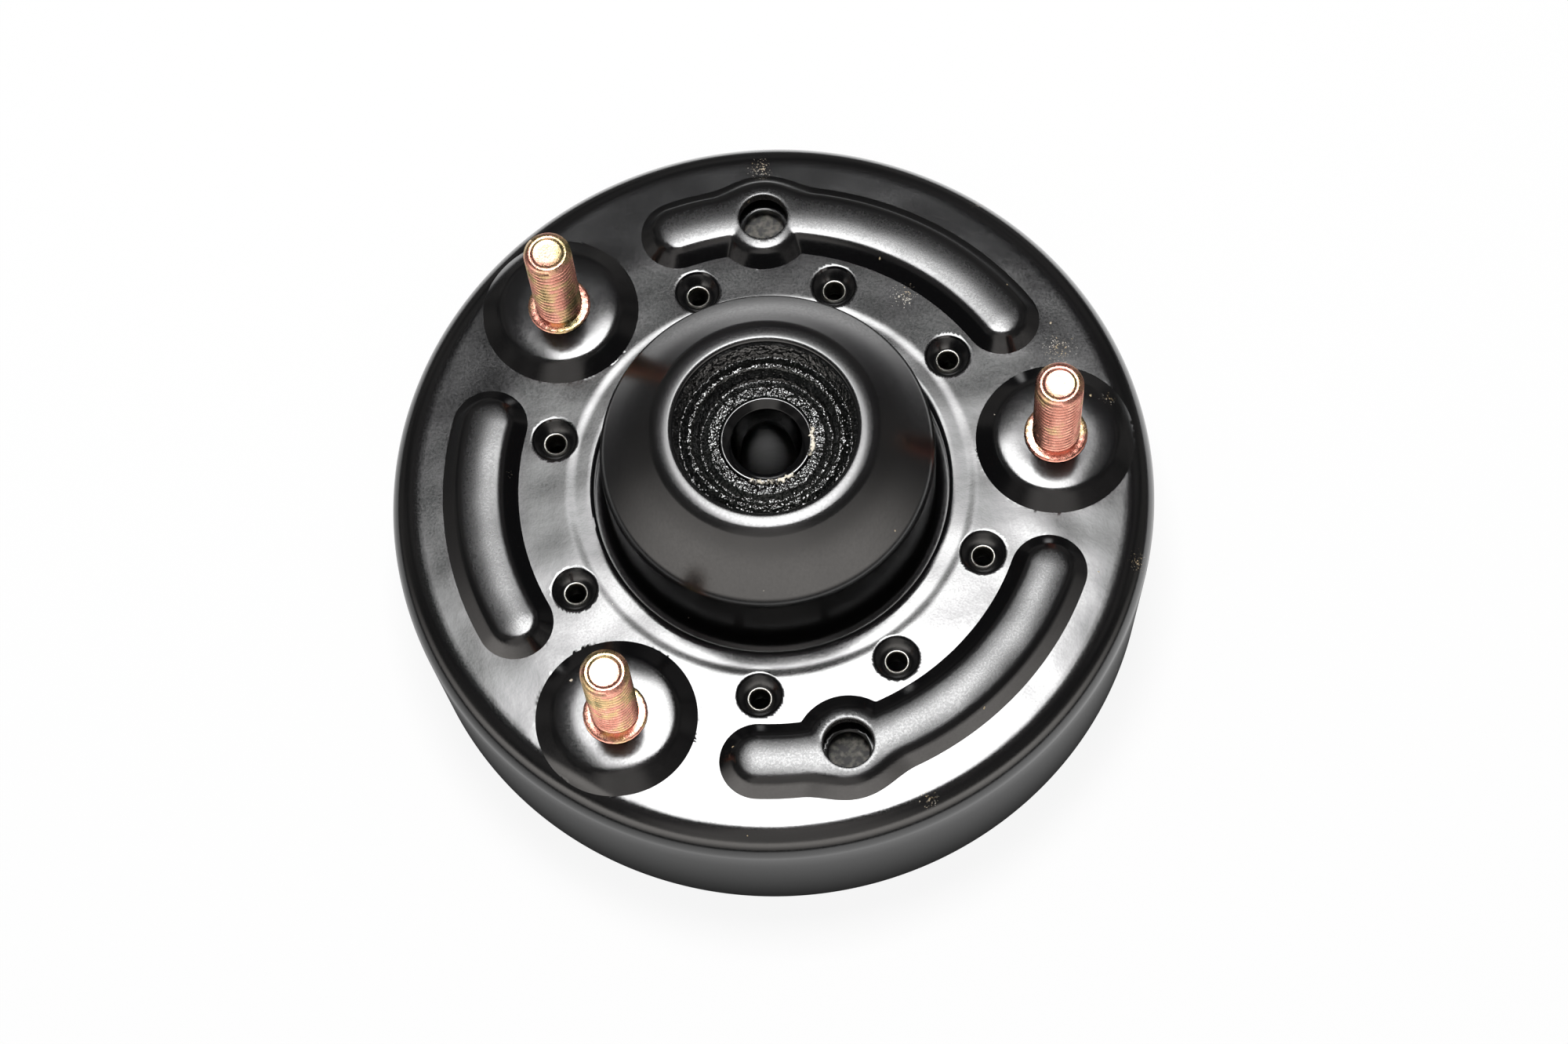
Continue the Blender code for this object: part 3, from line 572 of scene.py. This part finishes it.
# drawn housing: soft rolled mouth, slightly full cone, straight wall, and a brim riveted under the pan
housing = {"outer": [(18.8, 68.5, 1.0, 6), (21.1, 68.5, 12.0, 8), (23.1, 68.17, 4.2, 14), (28.6, 63.3, 90.0, 10),
                     (34.8, 56.85, 4.5, 14), (34.8, 34.7, 2.5, 6), (69.5, 34.7), (69.5, 32.5)],
           "inner": [(32.6, 32.5, 4.7, 6), (32.6, 55.9, 2.3, 6), (22.2, 66.3, 2.0, 6), (18.8, 66.3)],
           "brimHole": 4.5, "turnSteps": 300}


# holes through a flat sheet: how far round them the mesh is refined and snapped, and their drawn-in lip
punched = {"refined": 1.2, "snap": 0.36, "lip": 0.2, "lipDrop": 0.16}


def sheetRows(profile, level, span):
    # extra verts across a flat sheet, so that holes can be cut in it
    rows = [Vector((radius, level)) for radius in range(span[0], span[1] + 1)]
    for index, (first, last) in enumerate(zip(profile, profile[1:])):
        flat = abs(first.y - level) < 0.001 and abs(last.y - level) < 0.001
        if flat and abs(last.x - first.x) > span[1] - span[0]:
            profile[index + 1:index + 1] = rows if last.x > first.x else rows[::-1]
            return


def pierce(shape, circles, span):
    # round holes through the two skins of a flat sheet, between the heights of span
    def onRing(face):
        spot = face.calc_center_median()
        return span[0] < spot.z < span[1] and any(
            abs(math.hypot(spot.x - c.x, spot.y - c.y) - r) < punched["refined"] for c, r in circles)
    ringed = {edge for face in shape.faces if onRing(face) for edge in face.edges}
    bmesh.ops.subdivide_edges(shape, edges=list(ringed), cuts=1, use_grid_fill=True)
    level = [vert for vert in shape.verts if span[0] < vert.co.z < span[1]]
    bmesh.ops.connect_verts(shape, verts=[vert for vert in level if snapToCircle(vert, circles, punched["snap"])])
    openingsIn(shape, circles, span[0])
    middle = (span[0] + span[1]) / 2
    topVerts = {vert for vert in shape.verts if vert.co.z > middle}
    lowVerts = set(shape.verts) - topVerts
    for centre, radius in circles:
        upper = ringOf(shape, centre, radius, topVerts)
        upper = extrudeRing(shape, upper, centre, radius - punched["lip"], punched["lipDrop"], None)
        bmesh.ops.bridge_loops(shape, edges=upper + ringOf(shape, centre, radius, lowVerts))
    bmesh.ops.recalc_face_normals(shape, faces=shape.faces)


def makeHousing():
    profile = roundCorners(housing["outer"] + housing["inner"])
    for level in (34.7, 32.5):
        sheetRows(profile, level, (43, 68))
    shape = spinProfile(profile, housing["turnSteps"])
    circles = [(place, housing["brimHole"]) for place in holePlaces]
    circles += [(place, rivets["pierced"]) for place in rivetPlaces]
    pierce(shape, circles, (32.0, 35.0))
    return finishPiece("drawnHousing", shape, [housingPaint], ["bush_housing"], 40)


makeHousing()
print("housing drawn")

# rubber bush bonded to a steel sleeve
bush = {"outline": [(9.8, 60.8), (12.0, 60.8, 0.6, 3), (13.8, 59.6, 0.6, 3), (15.1, 63.2, 0.5, 3),
                    (16.1, 63.2, 0.5, 3), (17.8, 62.3, 0.5, 3), (20.5, 66.0, 0.6, 3), (23.0, 65.6),
                    (32.3, 55.4), (32.3, 26.0), (9.8, 26.0)],
        "turnSteps": 240, "cell": 0.35, "fineAbove": 55,
        # lumps of paint: their size and height, and where they are: from, full from, to, above
        "lumpSize": 1.1, "lump": 0.2, "lumpy": (9.9, 10.8, 24, 56)}
sleeve = {"profile": [(7.3, 60.0, 0.3, 4), (9.0, 61.2, 0.3, 4), (9.55, 61.2, 0.25, 4), (9.55, 25.7), (15.0, 25.7),
                      (15.0, 22.7, 0.4, 3), (7.3, 22.7, 0.4, 3)],
          "turnSteps": 160}


def makeBush():
    profile = roundCorners(bush["outline"])
    # verts closer than a lump, so that lumps can be modelled
    fine = []
    for first, last in zip(profile, profile[1:]):
        count = max(1, int((last - first).length / bush["cell"])) if min(first.y, last.y) > bush["fineAbove"] else 1
        fine += [first.lerp(last, step / count) for step in range(count)]
    shape = spinProfile(fine + [profile[-1]], bush["turnSteps"])
    start, full, end, above = bush["lumpy"]
    for vert in shape.verts:
        x, y, z = vert.co
        radius = math.hypot(x, y)
        if z > above and start < radius < end:
            lump = noise.noise(vert.co / bush["lumpSize"]) + 0.6 * noise.noise(vert.co / bush["lumpSize"] * 2.3)
            vert.co.z += bush["lump"] * lump * easeBetween(start, full, radius)
    return finishPiece("rubberBush", shape, [beadedRubber], ["rubber_bush"], 80)


def makeSleeve():
    shape = spinProfile(roundCorners(sleeve["profile"]), sleeve["turnSteps"])
    return finishPiece("innerSleeve", shape, [sleevePaint], ["inner_sleeve"], 40)


# crumbs of dried paint left on the sleeve's rim, in arcs of turn from, turn to and count
crumbs = {"arcs": ((-32, 12, 16), (-118, -62, 20)), "size": (0.22, 0.62), "radius": (8.9, 10.3), "height": 61.3}


def makeCrumbs():
    shape = bmesh.new()
    for arc, (first, last, count) in enumerate(crumbs["arcs"]):
        for step in range(count):
            spread = Vector((arc * 7.1, step * 3.3, 1.7))
            grown, out, along = (0.5 + 0.5 * noise.noise(spread + Vector((shift, 0, 0)))
                                 for shift in (0.0, 21.3, 47.9))
            size = crumbs["size"][0] + (crumbs["size"][1] - crumbs["size"][0]) * grown
            radius = crumbs["radius"][0] + (crumbs["radius"][1] - crumbs["radius"][0]) * out
            place = polar(radius, first + (last - first) * (step + along) / count, crumbs["height"])
            lump = bmesh.ops.create_icosphere(shape, subdivisions=2, radius=size)["verts"]
            bmesh.ops.scale(shape, vec=(1.3, 0.8, 0.55), verts=lump)
            bmesh.ops.rotate(shape, cent=(0, 0, 0), matrix=Matrix.Rotation(step * 1.9, 3, "Z"), verts=lump)
            for vert in lump:
                vert.co *= 1 + 0.35 * noise.noise(vert.co * 3 + spread)
            bmesh.ops.translate(shape, vec=place, verts=lump)
    return finishPiece("driedPaintCrumbs", shape, [crumbPaint], [], 60)


makeBush()
makeSleeve()
makeCrumbs()
print("bush and sleeve made")

# studs: rolled M10 x 1.5 thread above a swaged collar
stud = {"radius": 5.0, "pitch": 1.5, "threadDepth": 0.85, "collarRadius": 6.7, "collarTop": 41.2, "bossTop": 40.5,
        "end": 67.0, "chamfer": 0.8, "groove": 4.2, "headRadius": 8.2, "turnSteps": 96, "teeth": 24, "rowsPerPitch": 12,
        # down from the tip: a punched flat, its raised rim, and the chamfer
        "tip": ((0.0, 0.32), (2.0, 0.32), (2.95, 0.32), (3.1, 0.29), (3.35, 0.07), (3.5, 0.0),
                (3.95, 0.0), (4.15, 0.06))}


def threadRadius(height, angle):
    # straight flanks between a flat crest and a flat root
    phase = (height / stud["pitch"] - angle / math.tau) % 1.0
    wave = min(max(abs(phase - 0.5) * 2 * 1.25 - 0.125, 0.0), 1.0)
    return stud["radius"] - stud["threadDepth"] * wave


def makeStud(number, place):
    top = stud["end"]
    foot = stud["collarTop"] + 1.1
    rows = [(radius, top - drop) for radius, drop in stud["tip"]]
    threadStart = top - stud["chamfer"]
    rowCount = int((threadStart - foot) / stud["pitch"] * stud["rowsPerPitch"])
    rows += [(stud["radius"], threadStart - (threadStart - foot) * step / rowCount) for step in range(rowCount + 1)]
    collar, boss = stud["collarTop"], stud["bossTop"]
    rows += [(stud["groove"], foot - 0.4), (stud["groove"], collar + 0.15), (4.6, collar), (5.4, collar),
             (6.2, collar - 0.03), (6.5, collar - 0.12), (stud["collarRadius"], collar - 0.35), (6.6, boss + 0.25),
             (5.6, boss + 0.3), (5.6, 37.7), (stud["headRadius"], 37.7), (stud["headRadius"], 35.2), (0.0, 35.2)]
    shape = spinProfile(rows, stud["turnSteps"], closed=False)
    for vert in shape.verts:
        x, y, z = vert.co
        radius = math.hypot(x, y)
        angle = math.atan2(y, x)
        if foot - 0.01 <= z <= threadStart + 0.01 and radius > 4.9:
            fade = min(1.0, (z - foot) / 0.8, (threadStart - z) / 0.6)
            scale = 1 + (threadRadius(z, angle) / stud["radius"] - 1) * max(fade, 0.0)
            vert.co.x, vert.co.y = x * scale, y * scale
        elif stud["bossTop"] < z < stud["collarTop"] + 0.1 and radius > 6.1:
            bite = max(math.cos(angle * stud["teeth"]), 0.0)
            vert.co = (x * (1 - 0.008 * bite), y * (1 - 0.008 * bite), z - 0.06 * bite)
    bmesh.ops.translate(shape, vec=(place.x, place.y, 0), verts=shape.verts)
    return finishPiece("threadedStud%d" % number, shape, [studPlates[number - 1]],
                       ["stud_%d" % number], 75)


for number, place in enumerate(studPlaces, 1):
    makeStud(number, place)
print("studs threaded")

# hollow rivets flared into the countersinks
rivet = {"profile": [(4.44, 37.02), (4.36, 37.0), (2.82, 35.05), (2.6, 34.86), (2.5, 34.86), (2.4, 34.98),
                     (2.22, 34.98), (2.1, 34.84), (2.1, 29.1), (4.6, 29.1, 0.3, 3), (4.6, 30.1, 0.3, 3),
                     (2.55, 30.1), (2.55, 34.4), (2.75, 34.93)],
         "turnSteps": 48}


def makeRivet(number, place):
    shape = spinProfile(roundCorners(rivet["profile"]), rivet["turnSteps"])
    # the bore and its lip are worn bright
    for face in shape.faces:
        spot = face.calc_center_median()
        face.material_index = int(spot.z < 35.0 and math.hypot(spot.x, spot.y) < 2.5)
    bmesh.ops.translate(shape, vec=(place.x, place.y, 0), verts=shape.verts)
    return finishPiece("hollowRivet%d" % number, shape, [housingPaint, bareEdge],
                       ["rivet_%d" % number], 50)


for number, place in enumerate(rivetPlaces, 1):
    makeRivet(number, place)
print("rivets set")

# under the pan: retainer plate and rubber spring seat
retainer = {"profile": [(20.0, 25.7, 0.3, 2), (34.5, 25.7, 2.5, 5), (41.5, 32.2, 2.5, 5), (52.4, 32.2, 0.3, 2),
                        (52.4, 30.4, 0.3, 2), (42.3, 30.4, 3.5, 5), (35.3, 23.9, 3.5, 5), (20.0, 23.9, 0.3, 2)],
            "turnSteps": 180}
springSeat = {"profile": [(55.0, 32.2, 0.5, 2), (74.3, 32.2, 1.5, 3), (77.4, 29.1, 1.5, 3), (77.4, 17.2, 0.8, 3),
                          (74.0, 17.2, 0.8, 3), (74.0, 22.4, 2.0, 4), (71.8, 23.7, 0.8, 3), (69.0, 27.2, 2.5, 4),
                          (63.0, 27.2, 2.5, 4), (60.2, 23.7, 0.8, 3), (55.0, 23.7, 0.5, 2)],
              "turnSteps": 220}


def makeUnderside():
    profile = roundCorners(retainer["profile"])
    for level in (32.2, 30.4):
        sheetRows(profile, level, (44, 51))
    shape = spinProfile(profile, retainer["turnSteps"])
    pierce(shape, [(place, rivets["pierced"]) for place in rivetPlaces], (30.0, 32.5))
    finishPiece("retainerPlate", shape, [housingPaint], ["retainer_plate"], 40)
    shape = spinProfile(roundCorners(springSeat["profile"]), springSeat["turnSteps"])
    finishPiece("springSeatRing", shape, [seatRubber], ["spring_seat"], 40)


makeUnderside()
print("underside made")

# studio: pale floor and one softbox; gloss also sees the softbox's fading edge, the lit table and the dim room
studio = {"floorHalf": 4.0, "floor": "#f2f2f2", "floorShine": 0.9, "lampPower": 10.0, "lampSize": (0.33, 0.32),
          "lampPlace": (0.0, 0.185, 1.04),
          # along the softbox, in metres: where, and how bright; and its soft sides
          "softboxEnds": ((0.02, 0.0), (0.05, 42.0), (0.31, 42.0), (0.36, 24.0), (0.40, 13.0), (0.43, 3.8),
                          (0.46, 2.0), (0.50, 0.9), (0.58, 0.45), (0.64, 0.0)),
          "softboxMiddle": 0.02, "softboxSides": (0.22, 0.06), "softboxHeight": 1.04, "softboxHalfWidth": 0.25,
          # out from the axis over the table, a painted pool of light seen in gloss, with painted shadow close to the
          # pan's rim; the pool is stronger behind and weaker on the left
          "tableGlowAndRimShadow": ((0.079, 0.0), (0.088, 0.5), (0.10, 1.5), (0.14, 2.0), (0.215, 2.1), (0.26, 0.5),
                         (0.32, 0.1)),
          "poolBehind": 1.35, "poolLeft": 0.5, "poolReach": 0.15,
          # the lit wall before the mount: up it in metres, and round it as the share that faces the mount
          "wallRows": ((-0.1, 0.4), (0.0, 0.6), (0.15, 1.1), (0.35, 2.4), (0.5, 3.3), (0.7, 3.5), (0.78, 2.2),
                       (0.88, 0.5), (1.0, 0.0)),
          "wallFacing": (-0.17, -0.985, 0.0), "wallTurn": (-0.25, 0.75), "wallDroop": 0.35,
          "stripTurn": (0.78, 0.98, 1.0), "roomRadius": 1.6, "room": "#fffaf5", "roomLevel": (0.08, 0.28),
          "roomBlotch": 0.45, "ambient": 0.25}


def rampNode(tree, source, stops):
    # brightness along a distance, from (metres, strength) pairs
    low, high, top = stops[0][0], stops[-1][0], max(value for place, value in stops)
    share = addNode(tree, "MapRange", {"From Min": low, "From Max": high}, {"Value": source})
    ramp = addNode(tree, "ValToRGB", None, {"Fac": share.outputs[0]})
    while len(ramp.color_ramp.elements) < len(stops):
        ramp.color_ramp.elements.new(0.5)
    for element, (place, value) in zip(ramp.color_ramp.elements, stops):
        element.position = (place - low) / (high - low)
        element.color = (value / top, value / top, value / top, 1.0)
    return addNode(tree, "Math", {"operation": "MULTIPLY", 1: top}, {0: ramp.outputs[0]}).outputs[0]


def stageMesh(name, shape):
    mesh = bpy.data.meshes.new(name)
    shape.to_mesh(mesh)
    shape.free()
    thing = bpy.data.objects.new(name, mesh)
    bpy.context.scene.collection.objects.link(thing)
    return thing


def makeGlossCard(name, shape, brightness, tone="#ffffff"):
    # bright only to glossy rays
    material, tree, shader = newMaterial(name + "Light")
    where = addNode(tree, "TexCoord").outputs["Object"]
    glow = addNode(tree, "Emission", {"Color": linear(tone)}, {"Strength": brightness(tree, where)})
    tree.links.new(glow.outputs[0], tree.nodes["Material Output"].inputs["Surface"])
    card = stageMesh(name, shape)
    card.data.materials.append(material)
    for ray in ("camera", "diffuse", "transmission", "volume_scatter", "shadow"):
        setattr(card, "visible_" + ray, False)


def flatSheet(halfX, halfY, middle):
    shape = bmesh.new()
    bmesh.ops.create_grid(shape, x_segments=1, y_segments=1, size=1.0)
    bmesh.ops.scale(shape, vec=(halfX, halfY, 1.0), verts=shape.verts)
    bmesh.ops.translate(shape, vec=middle, verts=shape.verts)
    return shape


def softboxLight(tree, where):
    parts = addNode(tree, "SeparateXYZ", None, {"Vector": where})
    aside = addNode(tree, "Math", {"operation": "SUBTRACT", 1: studio["softboxMiddle"]}, {0: parts.outputs["X"]})
    side = addNode(tree, "Math", {"operation": "ABSOLUTE"}, {0: aside.outputs[0]})
    dark, full = studio["softboxSides"]
    edge = addNode(tree, "MapRange", {"interpolation_type": "SMOOTHSTEP", "From Min": dark, "From Max": full},
                   {"Value": side.outputs[0]})
    along = rampNode(tree, parts.outputs["Y"], studio["softboxEnds"])
    return addNode(tree, "Math", {"operation": "MULTIPLY"}, {0: along, 1: edge.outputs[0]}).outputs[0]


def roomLight(tree, where):
    parts = addNode(tree, "SeparateXYZ", None, {"Vector": where})
    flat = addNode(tree, "CombineXYZ", None, {"X": parts.outputs["X"], "Y": parts.outputs["Y"]})
    facing = addNode(tree, "VectorMath", {"operation": "NORMALIZE"}, {0: flat.outputs[0]})
    facing = addNode(tree, "VectorMath", {"operation": "DOT_PRODUCT", 1: studio["wallFacing"]},
                     {0: facing.outputs[0]})
    low, high = studio["wallTurn"]
    turn = addNode(tree, "MapRange", {"interpolation_type": "SMOOTHSTEP", "From Min": low, "From Max": high},
                   {"Value": facing.outputs["Value"]})
    # the lit wall is lower towards its sides
    aside = addNode(tree, "Math", {"operation": "SUBTRACT", 0: 1.0}, {1: facing.outputs["Value"]})
    lifted = addNode(tree, "Math", {"operation": "MULTIPLY_ADD", 1: studio["wallDroop"]},
                     {0: aside.outputs[0], 2: parts.outputs["Z"]})
    rise = rampNode(tree, lifted.outputs[0], studio["wallRows"])
    wall = addNode(tree, "Math", {"operation": "MULTIPLY"}, {0: rise, 1: turn.outputs[0]})
    blotch = addNode(tree, "TexNoise", {"Scale": 1.0 / studio["roomBlotch"], "Detail": 1.0}, {"Vector": where})
    low, high = studio["roomLevel"]
    dim = addNode(tree, "MapRange", {"From Min": 0.35, "From Max": 0.65, "To Min": low, "To Max": high},
                  {"Value": blotch.outputs[0]})
    # and a dim strip runs from it up to the softbox
    low, high, level = studio["stripTurn"]
    strip = addNode(tree, "MapRange", {"interpolation_type": "SMOOTHSTEP", "From Min": low, "From Max": high,
                                       "To Max": level}, {"Value": facing.outputs["Value"]})
    front = addNode(tree, "Math", {"operation": "MAXIMUM"}, {0: wall.outputs[0], 1: strip.outputs[0]})
    return addNode(tree, "Math", {"operation": "ADD"}, {0: front.outputs[0], 1: dim.outputs[0]}).outputs[0]


def seenRays(tree, path):
    # camera, mirror and glass rays, which see the white paper
    seen = addNode(tree, "Math", {"operation": "MAXIMUM"},
                   {0: path.outputs["Is Camera Ray"], 1: path.outputs["Is Glossy Ray"]})
    seen = addNode(tree, "Math", {"operation": "MAXIMUM"},
                   {0: seen.outputs[0], 1: path.outputs["Is Transmission Ray"]})
    return seen.outputs[0]


def makeStage():
    material, tree, shader = newMaterial("studioPaper")
    shader.inputs["Base Color"].default_value = linear(studio["floor"])
    shader.inputs["Roughness"].default_value = 0.9
    shader.inputs["Specular IOR Level"].default_value = 0.0
    # the paper is seen nearly white, and in gloss as a painted pool of the softbox's light, brightest where it pools,
    # but not where the pan covers it
    where = addNode(tree, "TexCoord").outputs["Object"]
    away = addNode(tree, "VectorMath", {"operation": "LENGTH"}, {0: where}).outputs["Value"]
    bare = addNode(tree, "Math", {"operation": "GREATER_THAN", 1: (pan["rimRadius"] - 1.0) * mm}, {0: away})
    path = addNode(tree, "LightPath")
    share = addNode(tree, "Math", {"operation": "MULTIPLY"}, {0: seenRays(tree, path), 1: bare.outputs[0]})
    share = addNode(tree, "Math", {"operation": "MULTIPLY", 1: studio["floorShine"]}, {0: share.outputs[0]})
    parts = addNode(tree, "SeparateXYZ", None, {"Vector": where})
    behind = addNode(tree, "MapRange", {"From Min": 0.0, "From Max": studio["poolReach"], "To Min": 1.0,
                                        "To Max": studio["poolBehind"]}, {"Value": parts.outputs["Y"]})
    left = addNode(tree, "MapRange", {"From Min": -studio["poolReach"], "From Max": 0.0,
                                      "To Min": studio["poolLeft"], "To Max": 1.0}, {"Value": parts.outputs["X"]})
    lit = addNode(tree, "Math", {"operation": "MULTIPLY"}, {0: behind.outputs[0], 1: left.outputs[0]})
    rings = rampNode(tree, away, studio["tableGlowAndRimShadow"])
    lit = addNode(tree, "Math", {"operation": "MULTIPLY"}, {0: lit.outputs[0], 1: rings})
    pool = addNode(tree, "Mix", {"data_type": "FLOAT", 2: 1.0},
                   {0: path.outputs["Is Glossy Ray"], 3: lit.outputs[0]})
    glow = addNode(tree, "Emission", None, {"Strength": pool.outputs[0]})
    mixed = addNode(tree, "MixShader", None, {0: share.outputs[0], 1: shader.outputs[0], 2: glow.outputs[0]})
    tree.links.new(mixed.outputs[0], tree.nodes["Material Output"].inputs["Surface"])
    floor = stageMesh("studioFloor", flatSheet(studio["floorHalf"], studio["floorHalf"], (0, 0, 0)))
    floor.data.materials.append(material)

    ends = studio["softboxEnds"]
    middle = (0, (ends[0][0] + ends[-1][0]) / 2, studio["softboxHeight"])
    half = (ends[-1][0] - ends[0][0]) / 2
    makeGlossCard("softboxCard", flatSheet(studio["softboxHalfWidth"], half, middle), softboxLight)
    room = bmesh.new()
    bmesh.ops.create_uvsphere(room, u_segments=48, v_segments=24, radius=studio["roomRadius"])
    makeGlossCard("roomCard", room, roomLight, studio["room"])

    world = bpy.data.worlds.new("studioAir")
    bpy.context.scene.world = world
    world.use_nodes = True
    tree = world.node_tree
    back = tree.nodes["Background"]
    back.inputs["Color"].default_value = (1, 1, 1, 1)
    seen = seenRays(tree, addNode(tree, "LightPath"))
    level = addNode(tree, "Math", {"operation": "MAXIMUM", 1: studio["ambient"]}, {0: seen})
    tree.links.new(level.outputs[0], back.inputs["Strength"])

    lamp = bpy.data.lights.new("overheadSoftbox", "AREA")
    lamp.shape = "RECTANGLE"
    lamp.size, lamp.size_y = studio["lampSize"]
    lamp.energy = studio["lampPower"]
    light = bpy.data.objects.new("overheadSoftbox", lamp)
    light.location = studio["lampPlace"]
    light.visible_glossy = False
    light.visible_camera = False
    bpy.context.scene.collection.objects.link(light)


makeStage()

# the photograph's camera, found from the rivets, bosses, housing mouth and outline
# place in mm over the pan's top, pan, tilt and roll in radians, focal length and width in pixels, turn in degrees
view = {"place": (0.0, -280.0, 693.1), "pan": 0.00633866, "tilt": 1.19843256, "roll": -0.110370507,
        "focal": 4511.0, "width": 2000.0, "turn": -2.17}


def makeCamera():
    swing, tilt, roll = view["pan"], view["tilt"], view["roll"]
    forward = Vector((math.sin(swing) * math.cos(tilt), math.cos(swing) * math.cos(tilt), -math.sin(tilt)))
    right = Vector((math.cos(swing), -math.sin(swing), 0))
    up = right.cross(forward)
    side = math.cos(roll) * right + math.sin(roll) * up
    rise = math.cos(roll) * up - math.sin(roll) * right
    turn = Matrix.Rotation(math.radians(view["turn"]), 3, "Z")
    axes = Matrix([turn @ side, turn @ rise, -(turn @ forward)]).transposed()
    place = turn @ (Vector(view["place"]) * mm) + Vector((0, 0, pan["height"] * mm))
    lens = bpy.data.cameras.new("photoCamera")
    lens.sensor_width = 36.0
    lens.lens = view["focal"] / view["width"] * 36.0
    lens.clip_start = 0.01
    camera = bpy.data.objects.new("photoCamera", lens)
    camera.matrix_world = Matrix.Translation(place) @ axes.to_4x4()
    bpy.context.scene.collection.objects.link(camera)
    bpy.context.scene.camera = camera


makeCamera()
bpy.context.scene.view_settings.view_transform = "Standard"
print("stage and camera set")
